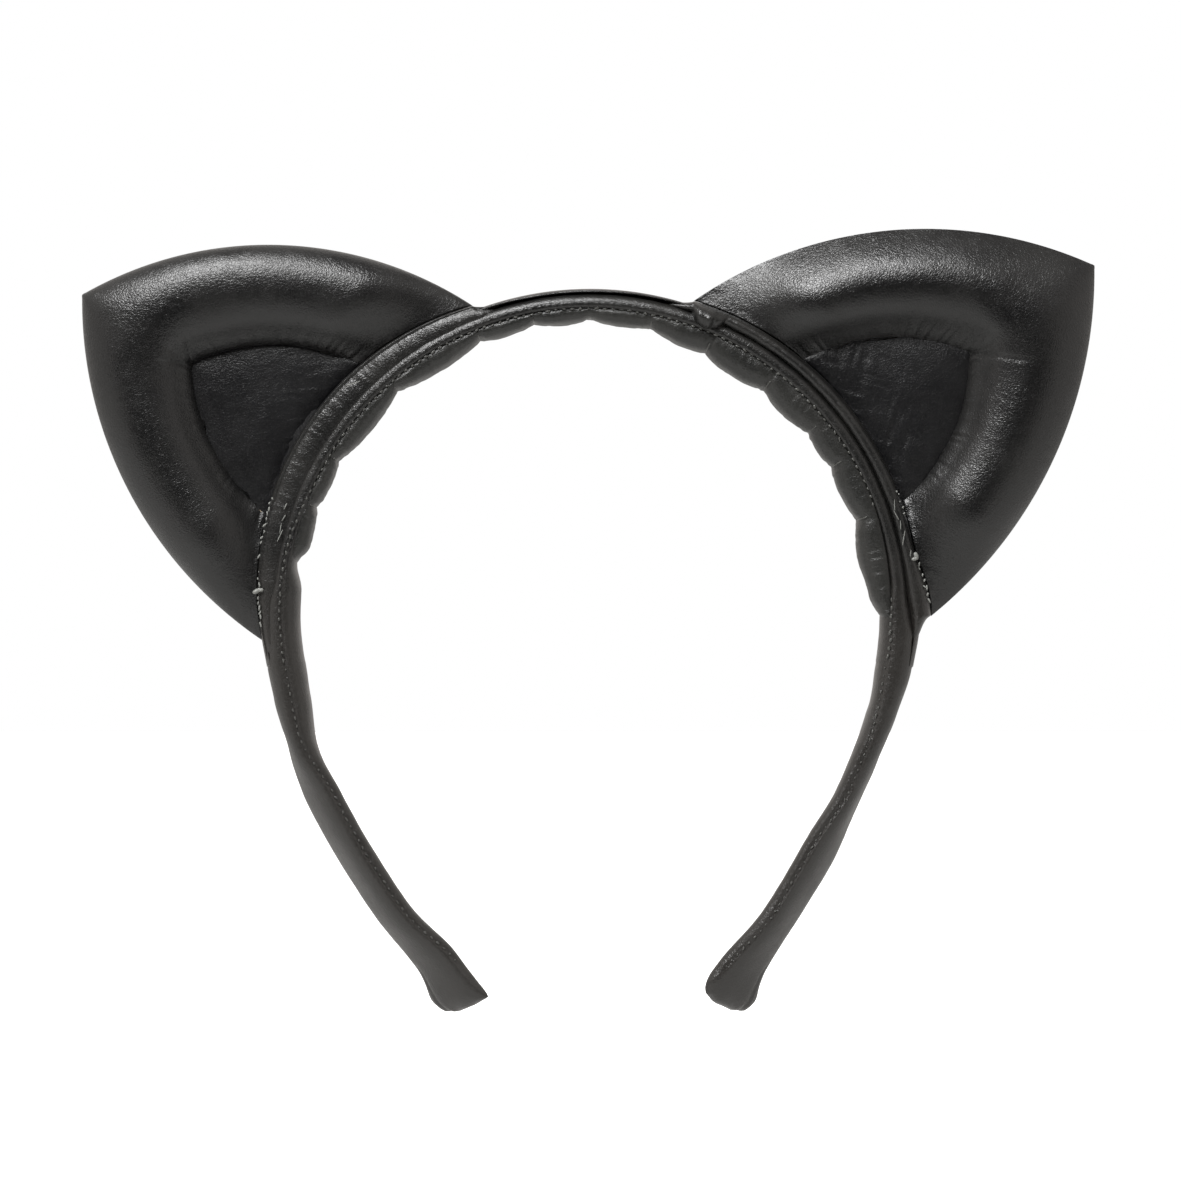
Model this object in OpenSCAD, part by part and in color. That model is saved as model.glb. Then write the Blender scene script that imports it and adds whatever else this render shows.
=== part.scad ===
// Cat ears headband: a spring hoop inside a padded leather sleeve, with two stuffed ears
// sewn to its outside and a puffed lining inside the crown.
// X runs across the head, Y from front to back and Z up. The origin is the underside of
// the lining at the top of the hoop, where the band rests on the head.

/* [Hoop] */
// Radius of the middle of the band over the head
hoop_r = 65.9; // [62:0.1:72]
// Thickness of the covered band over the head
band_t = 4.6; // [4.2:0.1:5.2]
// Width of the covered band from front to back
band_w = 13; // [11:0.5:15]
// Thickness of the spring strip
core_t = 1; // [0.8:0.1:1.2]
// Width of the spring strip
core_w = 8; // [6:0.5:8.5]
// Thickness of the leather round the band
leather_t = 0.6; // [0.4:0.1:0.8]
// Angle from the top of the hoop to the place where a leg flexes
flex_angle = 100; // [99:0.5:102]
// Length left open between the crown and a leg
flex_gap = 1.2; // [1:0.1:1.6]

/* [Lining] */
// Depth of the puffed lining under the top of the band
lining_t = 1.8; // [1.2:0.1:2.4]
// Extra depth of the lining's puffs on the right side
lining_swell = 1.4; // [0:0.1:1.8]
// Number of puffs in the lining
lining_puffs = 17; // [12:1:20]

/* [Ears] */
// Angle of the left ear's middle from the top of the hoop
left_ear_angle = 58; // [52:0.5:59.5]
// Angle of the right ear's middle from the top of the hoop
right_ear_angle = 55.5; // [52:0.5:59.5]
// Distance of the left ear's tip from the hoop's centre
left_tip_r = 128; // [120:0.1:134]
// Distance of the right ear's tip from the hoop's centre
right_tip_r = 130.8; // [120:0.1:134]
// Half of the angle that an ear's base takes on the hoop
ear_half = 37; // [33:0.1:38]
// How far an ear's sides bow outward
ear_bow = 11.2; // [7:0.1:13]
// Distance of the inner panel's point from the hoop's centre
panel_tip_r = 98.7; // [94:0.1:102]
// Half of the angle that the inner panel's base takes
panel_half = 14.9; // [12:0.1:17]
// How far the inner panel's sides bow outward
panel_bow = 4; // [2:0.1:5]
// Height of the padded rim above its edges
rim_h = 5.6; // [4:0.1:7]
// Height of the ear's stuffed back above its edges
back_h = 2.6; // [2:0.1:4]
// Thickness of the ear's leather
ear_leather_t = 0.8; // [0.6:0.1:1]

/* [Legs] */
// Thickness of a leg where it meets the crown, its lining and its top strip
leg_root_t = 7.2; // [5:0.1:7.4]
// Thickness of a leg a quarter of the way down
leg_neck_t = 5.7; // [5:0.1:7]
// Thickness of a leg at its free end
leg_end_t = 7; // [6:0.1:8]
// Width of a leg along most of its length
leg_w = 12.5; // [11:0.5:14]
// Width of a leg at its flared tip
leg_tip_w = 14; // [12:0.5:15]
// Twist of a leg along most of its length
leg_twist = 26; // [10:1:32]
// Twist of a leg at its tip
leg_tip_twist = 38; // [20:1:44]

/* [Hidden] */

LEFT = -1;
RIGHT = 1;

// Clearance between neighbouring pieces of one assembly
gap = 0.1;
// Height of the hoop's centre, below the origin
hoop_z = lining_t + band_t / 2 - hoop_r;
// Half of the crown's solid arc, in degrees
crown_half = flex_angle - flex_gap / 2 / hoop_r * 180 / PI;

// Roundness of the band's section: 1 is an ellipse and less is squarer
oval_power = 0.8;
oval_points = 20;

// Thickness and half width of the leather strip over the band's outer side
strip_t = 1;
strip_half_w = 5.5;
strip_half = crown_half - 1;
strip_steps = 10;

// Lining: half of its arc, thickness at the ties between two puffs, width, and mesh density
lining_half = crown_half - 1;
tie_t = 0.3;
lining_w = band_w - 1;
puff_steps = 5;
lining_columns = 5;

// Thread, and the pitch of its stitches on the band
thread_d = 0.4;
stitch_l = 1.8;
stitch_pitch = 2.6;
// Distance of the crown's seam inside the middle of the band
seam_in = 0.7;

// Ear base: radius of its seam at the ends, and its rise in the middle
base_r = 70.2 + hoop_r - 65.9;
base_rise = 2.8;
// Half thickness of the stiffener, and the part of the ear that it leaves free at the edge
stiffener_half = 0.5;
stiffener_inset = 0.06;
// Part of the ear over which its leather comes down to the edge
edge_reach = 0.05;
// Thickness of the flaps that join an ear to the band
flap_t = 2.6;
// Steps along one side of an ear, and columns across its rim
ear_steps = 16;
rim_columns = 8;
dome_steps = 4;
// Centre towards which the layers of an ear are drawn in, as a distance from the hoop's centre
ear_centre = [0, 92];

// Legs, as arcs of [radius, sweep] that follow on from the flexing place
left_leg_arcs = [[330, 3], [32, 12], [182, 18.5]];
right_leg_arcs = [[70, 9], [158, 8], [280, 10]];
leg_steps = 22;
// Wall that the end tab closes the sleeve with, and the cap's length on the spring strip
end_tab_t = 1.4;
end_cap_l = 5;
end_clear = 3;

// ---------------------------------------------------------------- shared shapes

function smooth(x) = let (c = min(1, max(0, x))) c * c * (3 - 2 * c);

// Unit superellipse point: x across the thickness, y across the width
function oval_unit(a) = [
    sign(cos(a)) * pow(abs(cos(a)), oval_power),
    sign(sin(a)) * pow(abs(sin(a)), oval_power)
];

function oval(t, w, n = oval_points) = [
    for (i = [0:n - 1]) let (q = oval_unit((i + 0.5) * 360 / n)) [q[0] * t / 2, q[1] * w / 2]
];

// Half thickness of the band's section at a distance y from its middle
function oval_half_t(y) = band_t / 2 * pow(1 - pow(abs(2 * y / band_w), 2 / oval_power), oval_power / 2);

// A size across the band, inside its leather
function lined(size) = size - 2 * leather_t;

function reversed(list) = [for (i = [len(list) - 1:-1:0]) list[i]];

// Closed body through equal rings of points. A hollow body joins its last ring to its first.
module skin(rings, hollow = false, turn = false) {
    count = len(rings);
    m = len(rings[0]);
    spans = hollow ? count : count - 1;
    sides = [
        for (j = [0:spans - 1], i = [0:m - 1])
            let (k = (j + 1) % count, a = j * m + i, b = j * m + (i + 1) % m,
                c = k * m + (i + 1) % m, d = k * m + i)
            each [[a, b, c], [a, c, d]]
    ];
    last = (count - 1) * m;
    ends = hollow ? [] : [
        for (i = [0:m / 2 - 2])
            let (p = i, q = i + 1, r = m - 2 - i, s = m - 1 - i)
            each [[s, r, q], [s, q, p], [last + p, last + q, last + r], [last + p, last + r, last + s]]
    ];
    faces = concat(sides, ends);
    polyhedron([for (ring = rings) each ring], turn ? [for (f = faces) [f[2], f[1], f[0]]] : faces);
}

// Sweeps a section of [radius, y] round the hoop, between two angles from the top
module hoop_sweep(from, to) {
    translate([0, 0, hoop_z])
        rotate([0, from, 0])
            rotate([90, 0, 0])
                rotate([0, 0, 90])
                    mirror([0, 1, 0])
                        rotate_extrude(angle = to - from, $fn = 180)
                            children();
}

function hoop_point(r, a, y) = [r * sin(a), y, hoop_z + r * cos(a)];

// ---------------------------------------------------------------- crown

module crown_core() {
    color("lightsteelblue")
        hoop_sweep(-crown_half, crown_half)
            translate([hoop_r - core_t / 2, -core_w / 2])
                square([core_t, core_w]);
}

module crown_padding() {
    color("khaki")
        hoop_sweep(-crown_half, crown_half)
            translate([hoop_r, 0])
                difference() {
                    polygon(oval(lined(band_t) - 2 * gap, lined(band_w) - 2 * gap));
                    square([core_t + 2 * gap, core_w + 2 * gap], center = true);
                }
}

module crown_sleeve() {
    color("dimgray")
        hoop_sweep(-crown_half, crown_half)
            translate([hoop_r, 0])
                difference() {
                    polygon(oval(band_t, band_w));
                    polygon(oval(lined(band_t), lined(band_w)));
                }
}

// The lining's depth swells between two ties and across its width
function puff(x) = pow(abs(sin(180 * x)), 0.6);

function lining_ring(x) =
    let (a = lining_half * (2 * x / lining_puffs - 1),
        r_out = hoop_r - band_t / 2 - gap,
        swell = lining_swell * smooth(a / 35) * smooth((lining_half - a) / 25),
        deep = tie_t + (lining_t + swell - gap - tie_t) * puff(x),
        ys = [for (i = [0:lining_columns - 1]) lining_w * (i / (lining_columns - 1) - 0.5)])
    concat(
        [for (y = ys) hoop_point(r_out, a, y)],
        [for (i = [lining_columns - 1:-1:0])
            let (y = ys[i], bulge = pow(max(0.04, 1 - pow(2 * y / lining_w, 2)), 0.5))
            hoop_point(r_out - deep * bulge, a, y)]
    );

module crown_lining() {
    color("gray")
        skin([for (i = [0:lining_puffs * puff_steps]) lining_ring(i / puff_steps)]);
}

module crown_top_strip() {
    ys = [for (i = [0:strip_steps]) strip_half_w * (2 * i / strip_steps - 1)];
    color("darkslategray")
        hoop_sweep(-strip_half, strip_half)
            polygon(concat(
                [for (y = ys) [hoop_r + oval_half_t(y) + gap, y]],
                [for (i = [strip_steps:-1:0])
                    [hoop_r + oval_half_t(ys[i]) + gap + strip_t, ys[i]]]
            ));
}

// A stitch is a short straight thread, laid along the band
module stitch_at(r, a, y, l) {
    translate(hoop_point(r, a, y))
        rotate([0, a, 0])
            rotate([0, 90, 0])
                cylinder(h = l, d = thread_d, center = true, $fn = 8);
}

module crown_seam_thread() {
    turn = stitch_pitch / hoop_r * 180 / PI;
    count = floor(2 * (crown_half - 2) / turn);
    color("black")
        for (i = [0:count])
            stitch_at(hoop_r - seam_in, (i - count / 2) * turn, -(band_w / 2 + thread_d), stitch_l);
}

module crown_lining_ties() {
    step = 2 * lining_half / lining_puffs;
    color("black")
        for (i = [1:lining_puffs - 1])
            translate(hoop_point(hoop_r - band_t / 2 - 2 * gap - tie_t - thread_d / 2, i * step - lining_half, 0))
                rotate([90, 0, 0])
                    cylinder(h = lining_w - 3, d = thread_d, center = true, $fn = 8);
}

// ---------------------------------------------------------------- ears

function ear_angle(side) = side < 0 ? -left_ear_angle : right_ear_angle;
function tip_r(side) = side < 0 ? left_tip_r : right_tip_r;

// A point of an ear: u across it, v outward from the hoop's centre, y from front to back
function ear_point(side, u, v, y) =
    let (a = ear_angle(side)) [v * sin(a) + u * cos(a), y, hoop_z + v * cos(a) - u * sin(a)];

// Point at t of 1 along a bowed line from p to q
function bowed(p, q, bow, t) =
    let (c = norm(q - p), r = c * c / (8 * bow) + bow / 2, a = (2 * t - 1) * asin(c / 2 / r),
        along = (q - p) / c, out = [-along[1], along[0]])
    (p + q) / 2 + along * r * sin(a) - out * (r * cos(a) - r + bow);

// Radius of the ear's base seam at an angle from the ear's middle
function base_seam_r(a) = base_r + base_rise * cos(90 * a / ear_half);
function base_seam(a) = base_seam_r(a) * [sin(a), cos(a)];

// Outlines run from x = -1 at one base corner, over the tip at 0, to 1 at the other corner
function mirrored(x, p) = [sign(x) * p[0], p[1]];
function ear_outer(side, x) =
    mirrored(x, bowed(base_seam(ear_half), [0, tip_r(side)], ear_bow, 1 - abs(x)));
function panel_outer(x) = mirrored(x, bowed(base_seam(panel_half), [0, panel_tip_r], panel_bow, 1 - abs(x)));

// A point of the rim, at w from 0 on the ear's edge to 1 on the inner panel's edge
function rim_point(side, x, w) =
    let (o = ear_outer(side, x), p = panel_outer(x), t = 1 - abs(x),
        c = mirrored(x, base_seam(ear_half + (panel_half - ear_half) * w)),
        straight = mirrored(x, base_seam(ear_half) + (base_seam(panel_half) - base_seam(ear_half)) * w))
    o + (p - o) * w + (c - straight) * pow(t < 0.5 ? 1 - 2 * t : 0, 2);

// Height of the rim's dome: full along the ear and pinched where the ear is sewn to the band
function rim_dome(x, w) = rim_h * sqrt(max(0, 4 * w * (1 - w))) * (0.35 + 0.65 * smooth((1 - abs(x)) / 0.3));

// Height of the underside of an ear's leather near its edge
function under_edge(w) = gap / 2 + (stiffener_half + gap / 2) * min(1, w / edge_reach);

// Columns across the rim, closer together at its two edges
function rim_column(i) = 0.99 * (1 - cos(180 * i / (rim_columns - 1))) / 2;

function rim_ring(side, x, skip, low, high) =
    let (ws = [for (i = [skip:rim_columns - 1 - skip]) rim_column(i)])
    concat(
        [for (w = ws) let (p = rim_point(side, x, w)) ear_point(side, p[0], p[1], -high(x, w))],
        [for (w = reversed(ws)) let (p = rim_point(side, x, w)) ear_point(side, p[0], p[1], -low(x, w))]
    );

// Layer of the rim between two heights, which leaves out some steps and columns at its edges
module rim_layer(side, skip, low, high) {
    reach = ear_steps - skip;
    skin([for (i = [-reach:reach]) rim_ring(side, i / ear_steps, skip, low, high)], turn = true);
}

module ear_rim_cover(side) {
    low = function (x, w) under_edge(w) + rim_dome(x, w);
    high = function (x, w) low(x, w) + ear_leather_t;
    color("dimgray")
        rim_layer(side, 0, low, high);
}

module ear_rim_padding(side) {
    low = function (x, w) stiffener_half + gap;
    high = function (x, w) stiffener_half + rim_dome(x, w) - gap;
    color("khaki")
        rim_layer(side, 1, low, high);
}

// Closed outline of points from an outline function, the tip first, with the base seam in it
function closed_outline(half, outer) = concat(
    [for (i = [0:ear_steps]) outer(i / ear_steps)],
    [for (i = [1:2 * ear_steps - 1]) base_seam(half * (1 - i / ear_steps))],
    [for (i = [ear_steps:-1:1]) outer(-i / ear_steps)]
);

// Body made of copies of an outline, each drawn w of the way in to a centre, at a height y
module domed(side, outline, centre, profile) {
    skin([for (k = profile)
        [for (p = outline) let (q = p + (centre - p) * k[0]) ear_point(side, q[0], q[1], k[1])]],
        turn = true);
}

// Profile of a dome's surface, from its edge to near its centre
function dome(w_from, y_edge, height) = [
    for (i = [0:dome_steps])
        let (w = w_from + (0.96 - w_from) * i / dome_steps)
        [w, y_edge + height * pow(1 - pow(1 - w, 3), 0.5)]
];

module ear_inner_panel(side) {
    outline = closed_outline(panel_half, function (x) panel_outer(x));
    foot = stiffener_half + gap;
    color("slategray")
        domed(side, outline, [0, (panel_tip_r + base_r) / 2],
            reversed([for (k = concat([[0.96, foot], [0.02, foot]], dome(0.02, foot + 1, 1.6))) [k[0], -k[1]]]));
}

// Underside of the back panel, which the wadding fills
function back_inside() = dome(edge_reach, stiffener_half + gap, back_h);

module ear_back_wadding(side) {
    outline = closed_outline(ear_half, function (x) ear_outer(side, x));
    foot = stiffener_half + gap;
    inside = back_inside();
    top = [for (i = [1:dome_steps]) inside[i] - [0, gap]];
    color("ivory")
        domed(side, outline, ear_centre, concat([[0.96, foot], [edge_reach + 0.01, foot]], top));
}

module ear_back_panel(side) {
    outline = closed_outline(ear_half, function (x) ear_outer(side, x));
    outside = dome(0, stiffener_half + gap + ear_leather_t, back_h);
    color("darkslategray")
        domed(side, outline, ear_centre,
            concat(reversed(back_inside()), [[0.03, gap / 2], [0, gap / 2]], outside));
}

// Extrudes a drawing in an ear's own plane between two depths
module ear_plate(side, y_from, y_to) {
    translate([0, 0, hoop_z])
        rotate([0, ear_angle(side), 0])
            translate([0, y_to, 0])
                rotate([90, 0, 0])
                    linear_extrude(y_to - y_from)
                        children();
}

module ear_stiffener(side) {
    outline = closed_outline(ear_half, function (x) ear_outer(side, x));
    color("wheat")
        ear_plate(side, -stiffener_half, stiffener_half)
            polygon([for (p = outline) p + (ear_centre - p) * stiffener_inset]);
}

// Crescent of leather between the band's top strip and the ear's base seam
module ear_flap(side, y_from, y_to) {
    steps = 24;
    reach = ear_half - 1;
    color("darkslategray")
        ear_plate(side, y_from, y_to)
            difference() {
                polygon(concat(
                    [for (i = [-steps:steps])
                        let (a = reach * i / steps) (base_seam_r(a) - gap) * [sin(a), cos(a)]],
                    [[0, 0]]
                ));
                circle(r = hoop_r + band_t / 2 + strip_t + 2 * gap, $fn = 180);
            }
}

module ear_front_flap(side) {
    ear_flap(side, -flap_t, -gap / 2);
}

module ear_back_flap(side) {
    ear_flap(side, gap / 2, flap_t);
}

module ear_base_thread(side) {
    color("gray")
        for (i = [-5:5])
            stitch_at(base_seam_r(i * 5) - 1.3, ear_angle(side) + i * 5,
                -(flap_t + thread_d), stitch_l);
}

// ---------------------------------------------------------------- legs

function leg_arcs(side) = side < 0 ? left_leg_arcs : right_leg_arcs;
function arc_length(arc) = arc[0] * arc[1] * PI / 180;
function leg_length(side) = let (arcs = leg_arcs(side)) [for (a = arcs) arc_length(a)] * [for (a = arcs) 1];

// Place and heading at a length s along the arcs, starting from place p and heading h
function along(arcs, s, p, h, i = 0) =
    let (r = arcs[i][0], l = arc_length(arcs[i]), last = i == len(arcs) - 1, h1 = h + s / r * 180 / PI,
        h2 = h + arcs[i][1])
    s <= l || last ?
        [p + r * [sin(h1) - sin(h), cos(h1) - cos(h)], h1] :
        along(arcs, s - l, p + r * [sin(h2) - sin(h), cos(h2) - cos(h)], h2, i + 1);

function leg_place(side, s) =
    along(leg_arcs(side), s, hoop_r * [sin(flex_angle), cos(flex_angle)], flex_angle);

// Thickness, width and twist at a fraction f of a leg's length
function leg_t(f) = leg_neck_t + (leg_root_t - leg_neck_t) * smooth(1 - f / 0.22)
    + (leg_end_t - leg_neck_t) * smooth((f - 0.3) / 0.5);
function leg_width(f) = band_w + (leg_w - band_w) * smooth(f / 0.4) + (leg_tip_w - leg_w) * smooth((f - 0.88) / 0.12);
function leg_turn(f) = leg_twist * smooth(f / 0.4) + (leg_tip_twist - leg_twist) * smooth((f - 0.8) / 0.2);

// Point of a leg: u outward and v backward in its twisted section, at length s
function leg_point(side, s, u, v) =
    let (place = leg_place(side, s), h = place[1], t = leg_turn(s / leg_length(side)),
        out = u * cos(t) + v * sin(t))
    [side * (place[0][0] + out * sin(h)), v * cos(t) - u * sin(t), hoop_z + place[0][1] + out * cos(h)];

// Ring of a leg's section, thinner all round by a depth
function leg_ring(side, s, depth, points = 16) =
    let (f = s / leg_length(side))
    [for (q = oval(leg_t(f) - 2 * depth, leg_width(f) - 2 * depth, points)) leg_point(side, s, q[0], q[1])];

function strip_ring(side, s, t, w) =
    [for (q = [[-1, -1], [-1, 1], [1, 1], [1, -1]]) leg_point(side, s, q[0] * t / 2, q[1] * w / 2)];

function steps_between(from, to, n = leg_steps) = [for (i = [0:n]) from + (to - from) * i / n];

leg_start = flex_gap / 2;

module leg_core(side) {
    to = leg_length(side) - end_clear - end_tab_t;
    color("lightsteelblue")
        skin([for (s = steps_between(leg_start, to)) strip_ring(side, s, core_t, core_w)], turn = side > 0);
}

module leg_padding(side) {
    to = leg_length(side) - end_clear - end_tab_t - end_cap_l - 2 * gap;
    color("khaki")
        skin(concat(
            [for (s = steps_between(leg_start, to)) leg_ring(side, s, leather_t + gap, 12)],
            [for (s = steps_between(to, leg_start)) padding_bore(side, s)]
        ), hollow = true, turn = side < 0);
}

// The padding's hole round the spring strip, with as many points as its outside
function padding_bore(side, s) =
    [for (q = [[3, 1], [3, 3], [1, 3], [-1, 3], [-3, 3], [-3, 1], [-3, -1], [-3, -3], [-1, -3], [1, -3], [3, -3], [3, -1]])
        leg_point(side, s, q[0] / 3 * (core_t / 2 + gap), q[1] / 3 * (core_w / 2 + gap))];

module leg_sleeve(side) {
    to = leg_length(side) - end_tab_t - gap;
    color("dimgray")
        skin(concat(
            [for (s = steps_between(leg_start, to)) leg_ring(side, s, 0)],
            [for (s = steps_between(to, leg_start)) leg_ring(side, s, leather_t)]
        ), hollow = true, turn = side < 0);
}

module leg_seam_thread(side) {
    count = floor((leg_length(side) - 8) / stitch_pitch);
    color("black")
        for (i = [1:count]) {
            s = i * stitch_pitch;
            f = s / leg_length(side);
            translate(leg_point(side, s, 0, -leg_width(f) / 2 - thread_d))
                rotate([0, side * leg_place(side, s)[1], 0])
                    rotate([0, 90, 0])
                        cylinder(h = stitch_l, d = thread_d, center = true, $fn = 8);
        }
}

// Moulded cap over the end of the spring strip
module leg_end_cap(side) {
    end = leg_length(side) - end_clear - end_tab_t;
    wall = 0.8;
    t = core_t + 2 * gap;
    w = core_w + 2 * gap;
    color("silver")
        skin(concat(
            [for (s = [end + gap, end - end_cap_l]) strip_ring(side, s, t, w)],
            [for (s = [end - end_cap_l, end + gap + wall]) strip_ring(side, s, t + 2 * wall, w + 2 * wall)]
        ), turn = side > 0);
}

// Folded leather that closes the end of a leg
module leg_end_tab(side) {
    end = leg_length(side);
    from = end - end_tab_t;
    color("dimgray")
        skin([
            leg_ring(side, from, 0),
            leg_ring(side, end - 0.5, 0.1),
            leg_ring(side, end, 0.7)
        ], turn = side < 0);
}

// ---------------------------------------------------------------- nodes

crown_core();
crown_padding();
crown_sleeve();
crown_lining();
crown_top_strip();
crown_seam_thread();
crown_lining_ties();
ear_stiffener(LEFT);  // left_ear_stiffener
ear_rim_padding(LEFT);  // left_ear_rim_padding
ear_rim_cover(LEFT);  // left_ear_rim_cover
ear_inner_panel(LEFT);  // left_ear_inner_panel
ear_back_wadding(LEFT);  // left_ear_back_wadding
ear_back_panel(LEFT);  // left_ear_back_panel
ear_front_flap(LEFT);  // left_ear_front_flap
ear_back_flap(LEFT);  // left_ear_back_flap
ear_base_thread(LEFT);  // left_ear_base_thread
ear_stiffener(RIGHT);  // right_ear_stiffener
ear_rim_padding(RIGHT);  // right_ear_rim_padding
ear_rim_cover(RIGHT);  // right_ear_rim_cover
ear_inner_panel(RIGHT);  // right_ear_inner_panel
ear_back_wadding(RIGHT);  // right_ear_back_wadding
ear_back_panel(RIGHT);  // right_ear_back_panel
ear_front_flap(RIGHT);  // right_ear_front_flap
ear_back_flap(RIGHT);  // right_ear_back_flap
ear_base_thread(RIGHT);  // right_ear_base_thread
leg_core(LEFT);  // left_leg_core
leg_padding(LEFT);  // left_leg_padding
leg_sleeve(LEFT);  // left_leg_sleeve
leg_seam_thread(LEFT);  // left_leg_seam_thread
leg_end_cap(LEFT);  // left_leg_end_cap
leg_end_tab(LEFT);  // left_leg_end_tab
leg_core(RIGHT);  // right_leg_core
leg_padding(RIGHT);  // right_leg_padding
leg_sleeve(RIGHT);  // right_leg_sleeve
leg_seam_thread(RIGHT);  // right_leg_seam_thread
leg_end_cap(RIGHT);  // right_leg_end_cap
leg_end_tab(RIGHT);  // right_leg_end_tab
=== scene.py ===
"""Black leather cat ears headband: the soft pieces, their materials, the light and the camera.

Lengths are in millimetres until a mesh is made. Angles round the hoop are in degrees from its top,
positive towards +X, which is the right ear as the camera sees it.
"""
import itertools
import math

import bpy
import numpy as np
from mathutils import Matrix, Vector


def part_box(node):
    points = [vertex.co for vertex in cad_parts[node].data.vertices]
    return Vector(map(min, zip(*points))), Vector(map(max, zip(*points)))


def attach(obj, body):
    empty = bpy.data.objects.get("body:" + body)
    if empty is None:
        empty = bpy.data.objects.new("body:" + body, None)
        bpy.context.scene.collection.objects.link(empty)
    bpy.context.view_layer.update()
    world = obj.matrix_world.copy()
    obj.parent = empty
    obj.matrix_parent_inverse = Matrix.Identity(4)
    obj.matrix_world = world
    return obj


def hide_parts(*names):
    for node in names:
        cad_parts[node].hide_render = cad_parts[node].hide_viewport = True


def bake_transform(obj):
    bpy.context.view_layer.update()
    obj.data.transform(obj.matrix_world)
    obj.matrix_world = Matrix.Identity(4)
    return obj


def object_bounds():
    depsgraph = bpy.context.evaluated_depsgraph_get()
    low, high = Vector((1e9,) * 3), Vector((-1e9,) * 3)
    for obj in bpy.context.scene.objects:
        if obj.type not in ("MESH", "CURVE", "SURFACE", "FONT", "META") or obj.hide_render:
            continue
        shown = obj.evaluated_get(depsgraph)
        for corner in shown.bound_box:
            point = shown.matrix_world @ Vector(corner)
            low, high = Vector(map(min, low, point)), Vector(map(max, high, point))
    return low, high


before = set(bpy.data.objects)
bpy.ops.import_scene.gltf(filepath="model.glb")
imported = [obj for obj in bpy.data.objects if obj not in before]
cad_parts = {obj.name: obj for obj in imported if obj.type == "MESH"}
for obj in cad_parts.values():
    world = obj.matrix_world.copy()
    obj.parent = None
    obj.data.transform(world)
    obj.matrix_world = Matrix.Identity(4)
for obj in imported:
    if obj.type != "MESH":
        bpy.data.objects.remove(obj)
CAD_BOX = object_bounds()

MM = 0.001
LEFT, RIGHT = -1, 1
SIDES = {LEFT: "left", RIGHT: "right"}

# The hoop, from the spring strip that lies in its middle
CORE_T = 1.0
CORE_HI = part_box("crown_core")[1] / MM
HOOP_R = CORE_HI.x - CORE_T / 2
HOOP_Z = CORE_HI.z - CORE_HI.x

# The covered band: its width, the angle where the legs begin to flex, and how square its section is
BAND_W = 13.0
SPLIT = 100.0
ROUND = 2.5
CROWN_IN_R, CROWN_OUT_R = 63.6, 68.35
SEAM_R = 64.4
STITCH_PITCH = 1.75

# The lining: its ends, the ties between its puffs, and how many points go round its front and its hidden side
LINING_FROM, LINING_TO = -81.0, 91.0
TIES = [-81, -69, -59, -41, -22, -11, 0, 12, 24, 38, 50.5, 59, 71, 91]
TIE_R = 62.7
LINING_HALF_W = 5.5
LINING_FRONT, LINING_HIDDEN = 40, 12

# Legs: arcs of (radius, sweep) that follow on from the flexing place
LEG_ARCS = {
    LEFT: [(330, 3), (32, 12), (182, 18.5)],
    RIGHT: [(70, 9), (158, 8), (280, 10)],
}

# Ears: angle of the middle, tip radius, the two base corners, and how far each side bows out
EAR_ANGLE = {LEFT: -58.0, RIGHT: 55.5}
TIP_R = {LEFT: 128.0, RIGHT: 130.8}
EAR_ENDS = {LEFT: (-37.0, 37.0), RIGHT: (-37.0, 35.2)}
EAR_BOW = {LEFT: (10.6, 11.8), RIGHT: (11.3, 9.6)}
# The seam along the ear's base: its radius, and how far it rises towards the ear's middle
BASE_R = 70.2
BASE_RISE = {LEFT: 2.5, RIGHT: 0.5}
# The inner panel: half its width in degrees, its tip radius, and the bow and growth of its sides
PANEL_HALF = 14.9
PANEL_TIP_R = {LEFT: 100.2, RIGHT: 97.8}
PANEL_BOW = 4.0
PANEL_TUCK = 0.5
# The rim's greatest height, and the radius of the place where the back bulges most
RIM_H = 7.6
BACK_CENTRE_R = 92.0

# The direction away from the camera
BACKWARD = np.array([0.0, 1.0, 0.0])


# -------- numbers and shapes


def smooth(x):
    c = np.clip(x, 0, 1)
    return c * c * (3 - 2 * c)


def near(x, centre, width):
    """1 at the centre, falling smoothly to 0 over about the width."""
    return np.exp(-(((x - centre) / width) ** 2))


def eased(x, knots):
    """A smooth curve through (place, value) knots, level at each of them."""
    places, values = zip(*knots)
    x = np.clip(x, places[0], places[-1])
    total = np.full(np.shape(x), float(values[0]))
    for (a, p), (b, q) in zip(knots, knots[1:]):
        total = total + (q - p) * smooth((x - a) / (b - a))
    return total


def signed_power(x, power):
    return np.sign(x) * np.abs(x) ** power


def lattice(cell, seed):
    """A fixed random value from 0 to 1 for each whole-numbered cell."""
    n = np.sin(cell @ np.array([127.1, 311.7, 74.7]) + seed * 53.3) * 43758.5453
    return n - np.floor(n)


def noise(points, size, seed=0):
    """Smooth random values from -1 to 1 that change over about that size, in millimetres."""
    scaled = points / np.asarray(size, float)
    cell = np.floor(scaled)
    part = smooth(scaled - cell)
    total = np.zeros(points.shape[:-1])
    for corner in itertools.product((0, 1), repeat=3):
        weight = np.prod(np.where(np.array(corner) == 1, part, 1 - part), axis=-1)
        total = total + weight * lattice(cell + np.array(corner), seed)
    return 2 * total - 1


def stack(x, y, z):
    return np.stack(np.broadcast_arrays(x, y, z), axis=-1).astype(float)


def hoop_point(r, a, y):
    """Points at a radius and an angle in degrees round the hoop."""
    a = np.radians(a)
    return stack(r * np.sin(a), y, HOOP_Z + r * np.cos(a))


def polar(r, a):
    """Flat points, across and up, at a radius and an angle in degrees."""
    a = np.radians(a)
    return np.stack([r * np.sin(a), r * np.cos(a)], axis=-1)


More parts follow.
